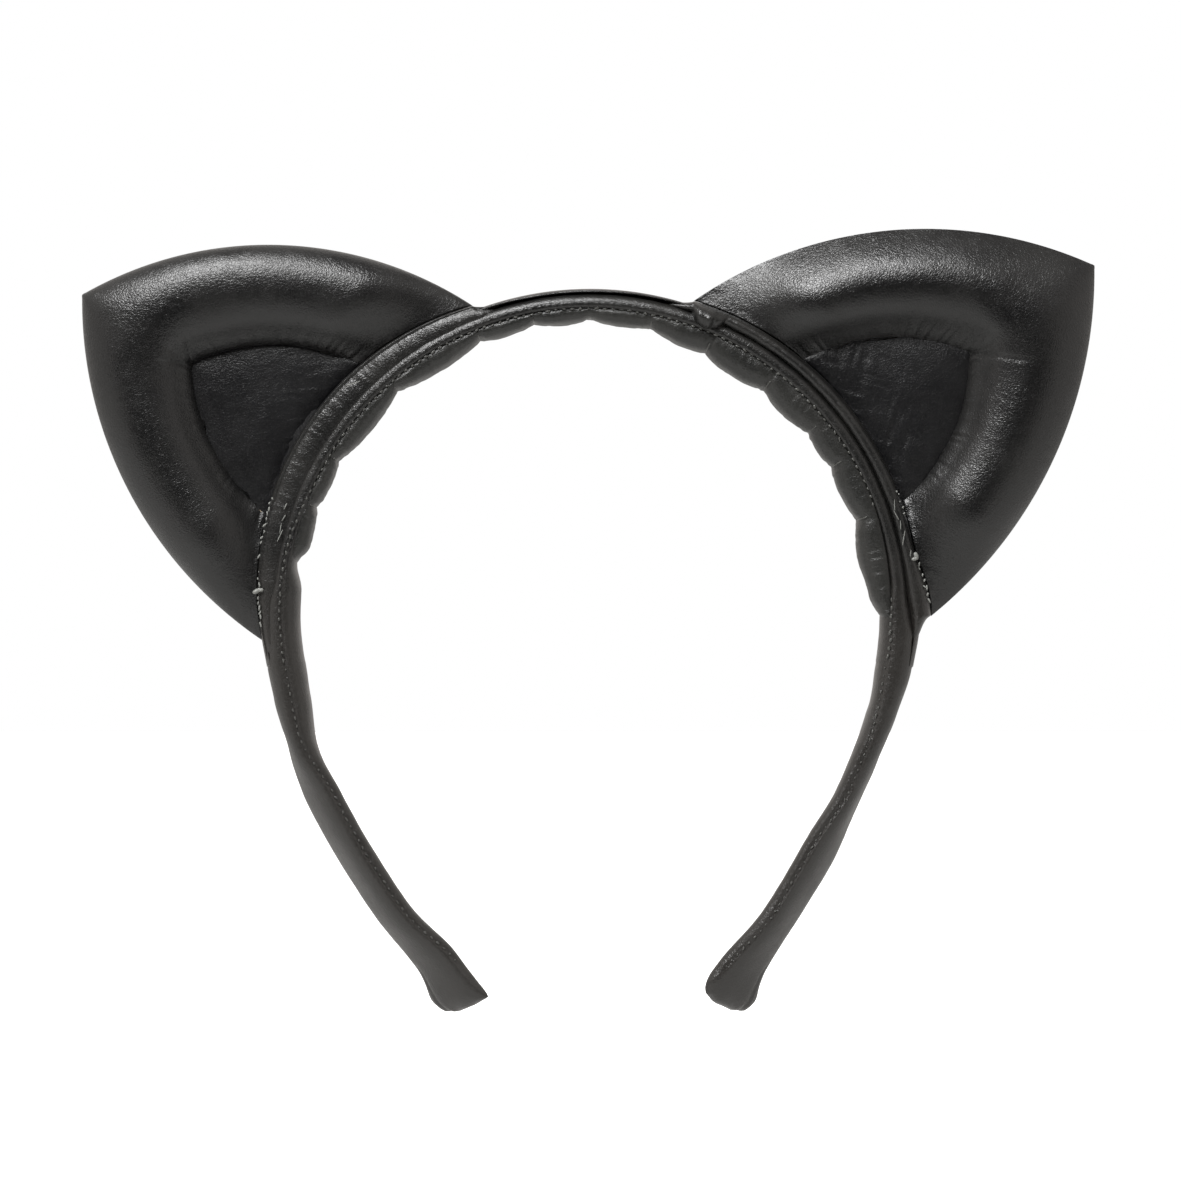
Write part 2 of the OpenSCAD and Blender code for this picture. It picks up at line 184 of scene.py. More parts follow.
def outward(a):
    """Unit directions out from the hoop's middle at angles round it."""
    return hoop_point(1.0, a, 0.0) - hoop_point(0.0, a, 0.0)


def numbered(count):
    """Places for noise that changes from one stitch to the next."""
    return stack(np.arange(count) * 1.0, 0, 0)


# -------- meshes


def added(name, data):
    """A new object in the scene."""
    new = bpy.data.objects.new(name, data)
    bpy.context.scene.collection.objects.link(new)
    return new


def make(name, verts, faces, material, normals=None):
    mesh = bpy.data.meshes.new(name)
    mesh.from_pydata((np.asarray(verts) * MM).tolist(), [], faces)
    mesh.validate()
    mesh.shade_smooth()
    if normals is not None:
        mesh.normals_split_custom_set_from_vertices(normals.tolist())
    mesh.materials.append(material)
    return added(name, mesh)


def grid_quads(rings):
    """Quads between rings of points, facing out of the body."""
    rows, count = rings.shape[:2]
    j, i = np.meshgrid(np.arange(rows - 1), np.arange(count), indexing="ij")
    near_side, far_side = j * count, (j + 1) * count
    after = (i + 1) % count
    quads = np.stack([near_side + i, near_side + after, far_side + after, far_side + i], axis=-1)
    quads = quads.reshape(-1, 4)
    points = rings.reshape(-1, 3) - rings.reshape(-1, 3).mean(axis=0)
    p, q, r, t = (points[quads[:, k]] for k in range(4))
    volume = np.sum(p * np.cross(q, r)) + np.sum(p * np.cross(r, t))
    return quads if volume > 0 else quads[:, ::-1]


def closed_faces(rings, first=0):
    """All faces of a closed body through rings of points, whose numbers begin at first."""
    rows, count = rings.shape[:2]
    quads = grid_quads(rings)
    start = np.arange(count)
    end = (rows - 1) * count + start
    turned = quads[0, 1] == 1
    ends = [start[::-1], end] if turned else [start, end[::-1]]
    return (quads + first).tolist() + [(face + first).tolist() for face in ends]


def tube(name, rings, material, normals=None):
    """A closed body through equal rings of points."""
    flat = None if normals is None else normals.reshape(-1, 3)
    return make(name, rings.reshape(-1, 3), closed_faces(rings), material, flat)


def joined(name, bodies, material):
    """One piece made of many small closed bodies with equal numbers of points."""
    verts, faces = [], []
    for rings in bodies:
        faces += closed_faces(rings, len(verts) * rings[..., 0].size)
        verts.append(rings.reshape(-1, 3))
    return make(name, np.concatenate(verts), faces, material)


def ring_normals(rings):
    """Outward normals of a tube of rings, from its neighbouring points."""
    along = np.gradient(rings, axis=0)
    around = np.roll(rings, -1, axis=1) - np.roll(rings, 1, axis=1)
    normal = np.cross(around, along)
    centre = rings.mean(axis=1, keepdims=True)
    if np.sum(normal * (rings - centre)) < 0:
        normal = -normal
    return normal / np.maximum(np.linalg.norm(normal, axis=-1, keepdims=True), 1e-9)


# Cloth runs at ten times the real size, where the solver works well
SIM_SCALE = 0.01
SIM_FRAMES = 20
SIM_REACH = 2.0


def make_cloth(piece):
    """Stiff leather that air inside pushes out between its pinned seams."""
    cloth = piece.modifiers.new("cloth", "CLOTH")
    settings = cloth.settings
    settings.quality = 6
    settings.mass = 0.3
    settings.tension_stiffness = settings.compression_stiffness = 25.0
    settings.shear_stiffness = settings.tension_stiffness / 3
    settings.bending_stiffness = 8.0
    settings.vertex_group_mass = "seams"
    settings.use_pressure = True
    settings.uniform_pressure_force = 4.0
    settings.effector_weights.gravity = 0
    cloth.collision_settings.use_collision = False
    cloth.point_cache.frame_start = 1
    cloth.point_cache.frame_end = SIM_FRAMES


def inflated(rings, pinned):
    """Blows a stuffed piece up as cloth, and returns where its points end up, within SIM_REACH."""
    points = rings.reshape(-1, 3)
    mesh = bpy.data.meshes.new("simulated")
    mesh.from_pydata((points * SIM_SCALE).tolist(), [], grid_quads(rings).tolist())
    piece = added("simulated", mesh)
    group = piece.vertex_groups.new(name="seams")
    group.add(np.flatnonzero(pinned.reshape(-1)).tolist(), 1.0, "REPLACE")
    make_cloth(piece)
    for number in range(1, SIM_FRAMES + 1):
        bpy.context.scene.frame_set(number)
    result = piece.evaluated_get(bpy.context.evaluated_depsgraph_get())
    moved = np.array([v.co for v in result.data.vertices], float) / SIM_SCALE
    bpy.data.objects.remove(piece)
    bpy.context.scene.frame_set(1)
    step = moved - points
    length = np.linalg.norm(step, axis=1, keepdims=True)
    step *= np.minimum(1, SIM_REACH / np.maximum(length, 1e-9))
    return (points + step).reshape(rings.shape)


def refined(grid, axis):
    """Twice as many points along an axis, on the smooth curve through the present ones."""
    grid = np.moveaxis(grid, axis, 0)
    ends = np.concatenate([2 * grid[:1] - grid[1:2], grid, 2 * grid[-1:] - grid[-2:-1]])
    both = np.empty((2 * len(grid) - 1, *grid.shape[1:]))
    both[::2] = grid
    both[1::2] = (9 * (ends[1:-2] + ends[2:-1]) - ends[:-3] - ends[3:]) / 16
    return np.moveaxis(both, 0, axis)


def finish_piece(piece, body, nodes):
    """Attaches a piece to its body, where it has one, and hides the CAD nodes it stands for."""
    if body is not None:
        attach(piece, body)
    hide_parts(*nodes)


# -------- materials


def new_material(name):
    material = bpy.data.materials.new(name)
    material.use_nodes = True
    nodes = material.node_tree.nodes
    return material, nodes, material.node_tree.links, nodes["Principled BSDF"]


def noise_node(nodes, links, place, scale, detail=3.0, rough=0.55):
    node = nodes.new("ShaderNodeTexNoise")
    node.inputs["Scale"].default_value = scale
    node.inputs["Detail"].default_value = detail
    node.inputs["Roughness"].default_value = rough
    links.new(place.outputs["Object"], node.inputs["Vector"])
    return node


def ranged(nodes, links, socket, low, high, start=0.0, end=1.0):
    node = nodes.new("ShaderNodeMapRange")
    node.inputs["From Min"].default_value = start
    node.inputs["From Max"].default_value = end
    node.inputs["To Min"].default_value = low
    node.inputs["To Max"].default_value = high
    links.new(socket, node.inputs["Value"])
    return node.outputs["Result"]


def mixed(nodes, links, share, first, second):
    """A colour that goes from the first to the second as the share goes from 0 to 1."""
    node = nodes.new("ShaderNodeMixRGB")
    node.inputs["Color1"].default_value = (*first, 1)
    node.inputs["Color2"].default_value = (*second, 1)
    links.new(share, node.inputs["Fac"])
    return node


def bumped(nodes, links, height, strength, distance):
    node = nodes.new("ShaderNodeBump")
    node.inputs["Strength"].default_value = strength
    node.inputs["Distance"].default_value = distance
    links.new(height, node.inputs["Height"])
    return node


# How fine the leather's grain is, and the heights in metres between which a painted reflection turns the
# band's colour paler towards the legs
GRAIN = 620.0
SHEEN_FROM, SHEEN_TO = -0.046, -0.068


def pebbled(nodes, links, place):
    """Height of fine pebbles whose edges are a little bent."""
    warp = noise_node(nodes, links, place, GRAIN * 1.4)
    bent = nodes.new("ShaderNodeMixRGB")
    bent.blend_type = "LINEAR_LIGHT"
    bent.inputs["Fac"].default_value = 0.0006
    links.new(place.outputs["Object"], bent.inputs["Color1"])
    links.new(warp.outputs["Color"], bent.inputs["Color2"])
    pebbles = nodes.new("ShaderNodeTexVoronoi")
    pebbles.feature = "DISTANCE_TO_EDGE"
    pebbles.inputs["Scale"].default_value = GRAIN * 2.6
    links.new(bent.outputs["Color"], pebbles.inputs["Vector"])
    return ranged(nodes, links, pebbles.outputs["Distance"], 0.0, 1.0, 0.0, 0.28)


def painted_leg_sheen(nodes, links, place, colour, sheen):
    """Painted reflection: a colour that turns to the paler sheen colour on the way from the crown down the
    legs, whose outward faces reflect the white room.
    """
    split = nodes.new("ShaderNodeSeparateXYZ")
    links.new(place.outputs["Object"], split.inputs["Vector"])
    share = ranged(nodes, links, split.outputs["Z"], 0.0, 1.0, SHEEN_FROM, SHEEN_TO)
    sheen_mix = mixed(nodes, links, share, sheen, sheen)
    links.new(colour, sheen_mix.inputs["Color1"])
    return sheen_mix.outputs["Color"]


def leather(name, dark, worn, rough, specular=0.5, sheen=None):
    """Black nappa leather: fine pebbled grain, soft creases, uneven gloss and paler worn patches, and, where
    a sheen colour is given, a painted reflection that makes it paler towards the legs.
    """
    material, nodes, links, shader = new_material(name)
    place = nodes.new("ShaderNodeTexCoord")
    creases = noise_node(nodes, links, place, GRAIN * 0.42, 5.0, 0.6)
    fine = bumped(nodes, links, pebbled(nodes, links, place), 0.45, 0.00007)
    soft = bumped(nodes, links, creases.outputs["Fac"], 0.35, 0.0003)
    links.new(fine.outputs["Normal"], soft.inputs["Normal"])
    links.new(soft.outputs["Normal"], shader.inputs["Normal"])
    patches = noise_node(nodes, links, place, 85.0, 4.0, 0.6).outputs["Fac"]
    gloss = ranged(nodes, links, patches, rough - 0.05, rough + 0.06, 0.3, 0.7)
    links.new(gloss, shader.inputs["Roughness"])
    worn_share = ranged(nodes, links, patches, 0.0, 1.0, 0.35, 0.8)
    colour = mixed(nodes, links, worn_share, dark, worn).outputs["Color"]
    # Painted reflection: the colour turns paler down the legs.
    if sheen is not None:
        colour = painted_leg_sheen(nodes, links, place, colour, sheen)
    links.new(colour, shader.inputs["Base Color"])
    shader.inputs["Specular IOR Level"].default_value = specular
    return material


def thread_material(name, colour, rough):
    """Twisted sewing thread, with its plies as fine slanting ridges."""
    material, nodes, links, shader = new_material(name)
    place = nodes.new("ShaderNodeTexCoord")
    plies = nodes.new("ShaderNodeTexWave")
    plies.bands_direction = "DIAGONAL"
    plies.inputs["Scale"].default_value = 2600.0
    plies.inputs["Distortion"].default_value = 1.5
    links.new(place.outputs["Object"], plies.inputs["Vector"])
    bump = bumped(nodes, links, plies.outputs["Fac"], 0.5, 0.00005)
    links.new(bump.outputs["Normal"], shader.inputs["Normal"])
    tones = mixed(nodes, links, plies.outputs["Fac"], [c * 0.7 for c in colour], colour)
    links.new(tones.outputs["Color"], shader.inputs["Base Color"])
    shader.inputs["Roughness"].default_value = rough
    return material


def inner_material(name, low, high, rough, metallic=0.0):
    """Steel, board or plastic inside: mottled colour, uneven gloss and a light bump."""
    material, nodes, links, shader = new_material(name)
    place = nodes.new("ShaderNodeTexCoord")
    mottle = noise_node(nodes, links, place, 300.0, 4.0).outputs["Fac"]
    tones = mixed(nodes, links, mottle, low, high)
    links.new(tones.outputs["Color"], shader.inputs["Base Color"])
    gloss = ranged(nodes, links, mottle, rough - 0.08, rough + 0.08)
    links.new(gloss, shader.inputs["Roughness"])
    bump = bumped(nodes, links, mottle, 0.2, 0.0001)
    links.new(bump.outputs["Normal"], shader.inputs["Normal"])
    shader.inputs["Metallic"].default_value = metallic
    return material


EAR_LEATHER = leather("ear_leather", (0.003, 0.003, 0.0031), (0.006, 0.0058, 0.0055), 0.34)
PANEL_LEATHER = leather("panel_leather", (0.0025, 0.0025, 0.003), (0.004, 0.004, 0.0046), 0.4, specular=0.36)
# The band's paler colour down the legs is a painted reflection of the white room on their outward faces.
BAND_LEATHER = leather("band_leather", (0.0045, 0.0045, 0.0043), (0.010, 0.0095, 0.0085), 0.35,
                       sheen=(0.0165, 0.015, 0.0135))
LINING_LEATHER = leather("lining_leather", (0.0085, 0.0088, 0.008), (0.0155, 0.015, 0.0132), 0.4)
# Black thread given a dark grey lighter than black, so the stitches show as bright dots: partly the thread's
# own colour, partly a painted glint.
BLACK_THREAD = thread_material("black_thread", (0.065, 0.065, 0.06), 0.28)
BASE_THREAD = thread_material("base_thread", (0.22, 0.225, 0.21), 0.35)
SPRING_STEEL = inner_material("spring_steel", (0.35, 0.36, 0.38), (0.5, 0.51, 0.53), 0.3, 1.0)
BOARD = inner_material("stiffener_board", (0.25, 0.2, 0.14), (0.36, 0.3, 0.22), 0.8)
CAP_PLASTIC = inner_material("cap_plastic", (0.02, 0.02, 0.022), (0.04, 0.04, 0.042), 0.4)


# -------- the band's path and section


def leg_length(side):
    return sum(r * math.radians(sweep) for r, sweep in LEG_ARCS[side])


def leg_path(side, s):
    """Place (x, z) and outward direction (x, z) at distances s along a leg from where it flexes."""
    s = np.asarray(s, float)
    start = math.radians(SPLIT)
    place = HOOP_R * np.array([math.sin(start), math.cos(start)])
    x, z = np.full(s.shape, place[0]), np.full(s.shape, place[1])
    heading = np.full(s.shape, start)
    for r, sweep in LEG_ARCS[side]:
        length = r * math.radians(sweep)
        turned = np.clip(s, 0, length) / r
        turned = np.where((r, sweep) == LEG_ARCS[side][-1], np.maximum(s, 0) / r, turned)
        new = heading + turned
        x = x + r * (np.sin(new) - np.sin(heading))
        z = z + r * (np.cos(new) - np.cos(heading))
        heading = new
        s = s - length
    out = np.stack([side * np.sin(heading), np.cos(heading)], axis=-1)
    return np.stack([side * x, z + HOOP_Z], axis=-1), out


# Thickness, twist in degrees, width and sideways shift of each leg, at distances from where it flexes
LEG_T = {
    LEFT: [(0, 8.1), (7, 7.9), (17, 6.2), (27, 5.8), (60, 5.7), (82, 5.4)],
    RIGHT: [(0, 7.8), (10, 6.4), (18, 5.9), (32, 5.6), (82, 5.4)],
}
LEG_TURN = {
    LEFT: [(13, 0), (30, 26), (60, 25), (80, 44)],
    RIGHT: [(12, 0), (28, 9), (44, 25), (60, 26), (80, 49)],
}
LEG_W = {
    LEFT: [(0, 13.0), (30, 12.5), (70, 12.5), (80, 13.8)],
    RIGHT: [(0, 13.0), (30, 12.5), (70, 12.5), (80, 14.4)],
}
LEG_SHIFT = {
    LEFT: [(58, 0.0), (71, -0.9), (80, 0.5)],
    RIGHT: [(58, 0.0), (71, -0.6), (80, 0.2)],
}
# The front seam's place across each leg, from its middle, outward positive
LEG_SEAM = {
    LEFT: [(0, -0.1), (82, 0.4)],
    RIGHT: [(0, -2.1), (30, 0.4), (82, 1.2)],
}
# How far the folded end reaches past the leg's length, from its front corner to its back corner
TIP_REACH = {
    LEFT: [(-1.0, 2.3), (-0.4, 1.9), (0.35, 0.9), (0.8, -0.6), (1.0, -2.6)],
    RIGHT: [(-1.0, -1.8), (-0.72, -0.2), (-0.3, 0.4), (0.4, -0.2), (0.8, -1.2), (1.0, -2.8)],
}
TIP_FOLD = 6.0
CROWN_STEP = 0.45
LEG_STEP = 0.6
BAND_POINTS = 84


def crown_inner(a):
    """Radius of the crown tube's inner side: deeper past the lining's two ends."""
    deeper = eased(a, [(84, 0), (91, 1)]) + eased(-a, [(80, 0), (86, 1)])
    return CROWN_IN_R - 1.7 * deeper


def crown_outer(a):
    """Radius of the crown tube's outer side: fuller below the ears."""
    fuller = eased(a, [(86, 0), (94, 1)]) + eased(-a, [(82, 0), (90, 1)])
    return CROWN_OUT_R + 1.55 * fuller


def oval(half_t, half_w, turn, count=BAND_POINTS):
    """Section points as (outward, y) for arrays of half thickness, half width and turn in degrees."""
    angle = (np.arange(count) + 0.5) * 2 * np.pi / count
    u = np.asarray(half_t)[:, None] * signed_power(np.cos(angle), 2 / ROUND)
    v = np.asarray(half_w)[:, None] * signed_power(np.sin(angle), 2 / ROUND)
    return u, v, np.radians(np.asarray(turn))[:, None]


def placed(place, out, u, v, turn):
    """Section points u, v, turned and set at each place of a path."""
    outward = u * np.cos(turn) + v * np.sin(turn)
    y = v * np.cos(turn) - u * np.sin(turn)
    return stack(
        place[:, 0, None] + out[:, 0, None] * outward,
        y,
        place[:, 1, None] + out[:, 1, None] * outward,
    )


def seam_r(a):
    """Radius of the front seam over the crown."""
    return SEAM_R + 1.4 * smooth((-a - 62) / 22) - 0.6 * smooth((a - 62) / 22)


def seam_groove(u, v, seam_u, half_w, s, depth):
    """How far the front seam pulls the sleeve in, at its groove and at each stitch."""
    front = smooth(-v / half_w[:, None] * 3 - 1.6)
    across = u - seam_u[:, None]
    drift = 0.5 * noise(stack(s, 0, 0), 6, 7)
    puckers = (0.5 + 0.5 * np.cos(2 * np.pi * (s + drift) / STITCH_PITCH))[:, None]
    shoulders = near(across, 0.8, 0.55) + near(across, -0.8, 0.55)
    return front * (depth[:, None] * near(across, 0, 0.4) + 0.1 * puckers * shoulders)


def crown_shape(a):
    """Middle radius, half thickness, half width and seam place of the sleeve at angles over the crown."""
    inner, outer = crown_inner(a), crown_outer(a)
    middle = (outer + inner) / 2
    return middle, (outer - inner) / 2, np.full(a.shape, BAND_W / 2), seam_r(a) - middle


def crown_section():
    steps = int(2 * math.radians(SPLIT) * HOOP_R / CROWN_STEP)
    a = np.linspace(-SPLIT, SPLIT, steps + 1)
    s = np.radians(a) * HOOP_R
    middle, half_t, half_w, seam_u = crown_shape(a)
    u, v, turn = oval(half_t, half_w, np.zeros(a.shape))
    slope = smooth((SPLIT - np.abs(a)) / 25)[:, None] * smooth(-v / half_w[:, None] * 3 - 0.9)
    v = v + 0.28 * slope * np.maximum(u - seam_u[:, None], -0.3)
    depth = 0.4 + 0.2 * noise(stack(s, 0, 0), 9, 3)
    v = v + seam_groove(u, v, seam_u, half_w, s, depth)
    return placed(polar(middle, a) + (0, HOOP_Z), polar(1.0, a), u, v, turn)


def leg_shape(side, s):
    """Half thickness, half width, twist and seam place of a leg's sleeve at distances along it."""
    half_t = eased(s, LEG_T[side]) / 2
    half_w = eased(s, LEG_W[side]) / 2
    return half_t, half_w, eased(s, LEG_TURN[side]), eased(s, LEG_SEAM[side])


def leg_places(side, s):
    """The leg's path, with its sideways shift near the end."""
    place, out = leg_path(side, s)
    return place + out * eased(s, LEG_SHIFT[side])[..., None], out


def leg_section(side):
    length = leg_length(side)
    s = np.linspace(0, length, int(length / LEG_STEP) + 1)
    half_t, half_w, turn, seam_u = leg_shape(side, s)
    u, v, radians = oval(half_t, half_w, turn)
    ending = smooth((length - s) / 9)
    depth = (0.35 + 0.15 * noise(stack(s, 0, 0), 9, 5)) * ending
    v = v + seam_groove(u, v, seam_u, half_w, s, depth) * ending[:, None]
    fold = near(v / half_w[:, None], 0.6, 0.08) * (u > 0) * smooth((s - length + 14) / 5)[:, None]
    u = (u - 0.3 * fold) * tip_close(length - s)[:, None]
    place, out = leg_places(side, s)
    rings = placed(place, out, u, v, radians)
    reach = eased(v / half_w[:, None], TIP_REACH[side]) * smooth((s - length + 9) / 9)[:, None]
    heading = stack(side * out[:, 1], 0, -side * out[:, 0])
    return rings + heading[:, None] * reach[..., None]


def tip_close(left):
    """How the sleeve's thickness closes over its last few millimetres to the folded end."""
    t = np.clip(left / 4.5, 0, 1)
    return 0.1 + 0.9 * np.sqrt(1 - (1 - t) ** 2)


def band_wrinkles(points):
    """Slight unevenness of hand-sewn leather over foam, with finer creases across it."""
    slow = noise(points, 9, 11) * 0.13
    fine = noise(points, (2.2, 5, 2.2), 12) * 0.05
    return points + ring_normals(points) * (slow + fine)[..., None]


def build_band():
    """The sleeve: one tube over the crown and down both legs, cut where the legs flex and at their folds."""
    left, crown, right = leg_section(LEFT), crown_section(), leg_section(RIGHT)
    whole = np.concatenate([left[::-1], crown[1:-1], right])
    whole = band_wrinkles(whole)
    normals = ring_normals(whole)
    fold = round(TIP_FOLD / LEG_STEP)
    cuts = [0, fold, len(left) - 1, len(left) + len(crown) - 2, len(whole) - 1 - fold, len(whole) - 1]
    names = ["left_end", "left", "crown", "right", "right_end"]
    return {name: (whole[a : b + 1], normals[a : b + 1]) for name, a, b in zip(names, cuts, cuts[1:])}


def flex_with(piece):
    """Bakes a piece's placement into its mesh, for a piece that runs from the crown down a leg."""
    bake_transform(piece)


def make_band():
    parts = build_band()
    rings, normals = parts["crown"]
    sleeve = tube("crown_band_leather", rings, BAND_LEATHER, normals=normals)
    finish_piece(sleeve, "crown", ["crown_sleeve", "crown_padding"])
    for side, word in SIDES.items():
        rings, normals = parts[word]
        sleeve = tube(f"{word}_leg_leather", rings, BAND_LEATHER, normals=normals)
        flex_with(sleeve)
        finish_piece(sleeve, None, [f"{word}_leg_sleeve", f"{word}_leg_padding"])
        rings, normals = parts[word + "_end"]
        end = tube(f"{word}_leg_folded_end", rings, BAND_LEATHER, normals=normals)
        finish_piece(end, f"{word}_leg", [f"{word}_leg_end_tab"])


def leg_sweep(side, start, end, half_t, half_w):
    """Rings of a bar with a rounded end inside a leg, which twists with it."""
    s = np.linspace(start, end, int((end - start) / 1.2) + 2)
    _, _, turn, _ = leg_shape(side, s)
    round_end = np.sqrt(np.clip(1 - ((s - end + 1) / 1.1) ** 2 * (s > end - 1), 0.02, 1))
    u, v, radians = oval(half_t * round_end, half_w * round_end, turn, 24)
    place, out = leg_places(side, s)
    return placed(place, out, u, v, radians)


def make_leg_inside(side):
    """The spring strip down a leg and the moulded cap on its end."""
    word, end = SIDES[side], leg_length(side) - 4.0
    strip = tube(f"{word}_leg_spring", leg_sweep(side, 0.0, end, CORE_T / 2, 4.0), SPRING_STEEL)
    flex_with(strip)
    finish_piece(strip, None, [f"{word}_leg_core"])
    cap = tube(f"{word}_leg_cap", leg_sweep(side, end - 4.5, end + 0.8, 1.1, 4.7), CAP_PLASTIC)
    finish_piece(cap, f"{word}_leg", [f"{word}_leg_end_cap"])


# -------- stitches


def unit_bead():
    """A rounded stitch along x, from -1 to 1, with radius 1."""
    along = np.cos(np.linspace(math.pi - 0.15, 0.15, 7))
    around = np.linspace(0, 2 * np.pi, 8, endpoint=False)
    radius = (1 - along**2) ** 0.35
    return stack(along[:, None], radius[:, None] * np.cos(around), radius[:, None] * np.sin(around))


def beads(name, places, directions, normals, lengths, thick, material):
    """One piece of many stitches, each lying along its direction and flattened along its normal."""
    directions = directions / np.linalg.norm(directions, axis=-1, keepdims=True)
    across = np.cross(normals, directions)
    across /= np.linalg.norm(across, axis=-1, keepdims=True)
    axes = np.stack([directions, across, np.cross(directions, across)], axis=1)
    halves = np.stack([lengths / 2, thick / 2, thick * 0.4], axis=-1)
    axes = axes * halves[..., None]
    shape = unit_bead()
    return joined(name, [place + shape @ own for place, own in zip(places, axes)], material)


def front_of(u, half_t, half_w):
    """Depth of the sleeve's front at u across it."""
    return half_w * np.clip(1 - np.abs(u / half_t) ** ROUND, 0, 1) ** (1 / ROUND)


def tilted(along, across, seed):
    """Directions along a seam with an uneven tilt, as hand sewing has."""
    return along + across * 0.5 * noise(numbered(len(along)), 0.9, seed)[:, None]


def make_crown_stitches():
    a = np.arange(-SPLIT + 1, SPLIT - 1, math.degrees(STITCH_PITCH / 65.0))
    index = numbered(len(a))
    _, half_t, half_w, seam_u = crown_shape(a)
    y = -front_of(seam_u, half_t, half_w) - 0.22
    out = outward(a)
    places = hoop_point(seam_r(a) + 0.2 + 0.16 * noise(index, 1.3, 91), a, y)
    directions = tilted(np.cross(out, BACKWARD), out, 93)
    lengths = 0.85 + 0.3 * noise(index, 0.8, 92)
    thick = 0.5 + 0.15 * noise(index, 0.8, 98)
    normals = -out * 0.35 - BACKWARD
    piece = beads("crown_seam_stitches", places, directions, normals, lengths, thick, BLACK_THREAD)
    finish_piece(piece, "crown", ["crown_seam_thread"])


def make_leg_stitches(side):
    s = np.arange(0.8, leg_length(side) - 7, STITCH_PITCH)
    index = numbered(len(s))
    half_t, half_w, turn, seam_u = leg_shape(side, s)
    v = -front_of(seam_u, half_t, half_w) + 0.1
    place, out = leg_places(side, s)
    u = (seam_u + 0.14 * noise(index, 1.3, 94))[:, None]
    places = placed(place, out, u, v[:, None], np.radians(turn)[:, None])[:, 0]
    out = stack(out[:, 0], 0, out[:, 1])
    directions = tilted(np.cross(out, BACKWARD), out, 96)
    lengths = 0.6 + 0.35 * noise(index, 0.8, 95)
    thick = 0.34 + 0.12 * noise(index, 0.8, 97)
    word = SIDES[side]
    name = f"{word}_leg_seam_stitches"
    piece = beads(name, places, directions, -BACKWARD, lengths, thick, BLACK_THREAD)
    flex_with(piece)
    finish_piece(piece, None, [f"{word}_leg_seam_thread"])


# -------- the puffed lining


def tie_r(a):
    """Radius of the lining's inner side at its ties."""
    return TIE_R - 2.4 * smooth((a - 2) / 30) * smooth((97 - a) / 22)


def puff(a):
    """How far each puff bulges past its ties: more on wider puffs."""
    edges = np.array(TIES, float)
    i = np.clip(np.searchsorted(edges, a, side="right") - 1, 0, len(edges) - 2)
    width = edges[i + 1] - edges[i]
    t = (a - edges[i]) / width
    return 0.105 * width * np.clip(1 - (2 * t - 1) ** 2, 0, 1) ** 0.8


def lining_wrinkles(rings, a, phi):
    """How far the lining's front is drawn in or out by gathers at its seams and ties, and by its stuffing."""
    front = rings[:, :LINING_FRONT]
    from_tie = np.min(np.abs(a[:, None] - np.array(TIES)), axis=1)[:, None]
    at_seams = near(phi, 0.25, 0.4) + near(phi, np.pi - 0.25, 0.4)
    gathers = noise(stack(np.radians(a)[:, None] * 62, front[..., 1] * 0.25, 0), (0.8, 1, 1), 21)
    pull = gathers * (0.06 + 0.2 * near(from_tie, 0, 1.6) + 0.16 * at_seams)
    slow = noise(front, 5, 22) * 0.2 + noise(front, 2.2, 23) * 0.1
    return (pull + slow) * np.sin(phi) ** 0.3


def lining_rings():
    """Rings with a puffed front, from one edge of the band to the other, and a flat hidden side."""
    steps = int(math.radians(LINING_TO - LINING_FROM) * 62 / 0.35)
    a = np.linspace(LINING_FROM, LINING_TO, steps + 1)
    ends = smooth((a - LINING_FROM) / 4) * smooth((LINING_TO - a) / 4)
    bulge = puff(a)
    seam = seam_r(a)[:, None] + 0.1
    depth = (seam_r(a) + 0.1 - tie_r(a) + bulge) * (0.6 + 0.4 * ends) + 0.9 * near(a, LINING_TO, 4)
    phi = np.linspace(0, np.pi, LINING_FRONT)
    width = LINING_HALF_W + (0.15 + 0.5 * np.minimum(bulge, 1.2))[:, None] * np.sin(phi) ** 0.6
    hidden = np.ones((len(a), 1)) * np.linspace(5.3, -5.3, LINING_HIDDEN)
    y = np.concatenate([-width * signed_power(np.cos(phi), 0.6), hidden], axis=1)
    r = np.concatenate([seam - depth[:, None] * np.sin(phi) ** 0.85, seam + 0.3 + 0 * hidden], axis=1)
    rings = hoop_point(r, a[:, None], y)
    wrinkles = lining_wrinkles(rings, a, phi)
    rings[:, :LINING_FRONT] -= outward(a[:, None]) * (wrinkles * np.sin(phi))[..., None]
    rings[:, :LINING_FRONT, 1] -= wrinkles * np.cos(phi)
    return rings


def make_lining_ties():
    """A loop of thread that is pulled tight over the lining between each two puffs."""
    phi = np.linspace(0.5, np.pi - 0.5, 22)
    around = np.linspace(0, 2 * np.pi, 8, endpoint=False)[:, None]
    loops = []
    for a in np.array(TIES[1:-1], float):
        depth = seam_r(a) - tie_r(a) - 0.12
        y = -5.7 * signed_power(np.cos(phi), 0.6)
        middle = hoop_point(seam_r(a) - depth * np.sin(phi) ** 0.85, a, y)
        out = outward(a)
        thread = 0.16 * (np.cross(out, BACKWARD) * np.cos(around) + out * np.sin(around))
        loops.append(middle[:, None] + thread)
    piece = joined("crown_puff_ties", loops, BLACK_THREAD)
    finish_piece(piece, "crown", ["crown_lining_ties"])


def make_lining():
    rings = lining_rings()
    piece = tube("crown_puffed_lining", rings, LINING_LEATHER)
    finish_piece(piece, "crown", ["crown_lining"])


# -------- strip over the band's outer side


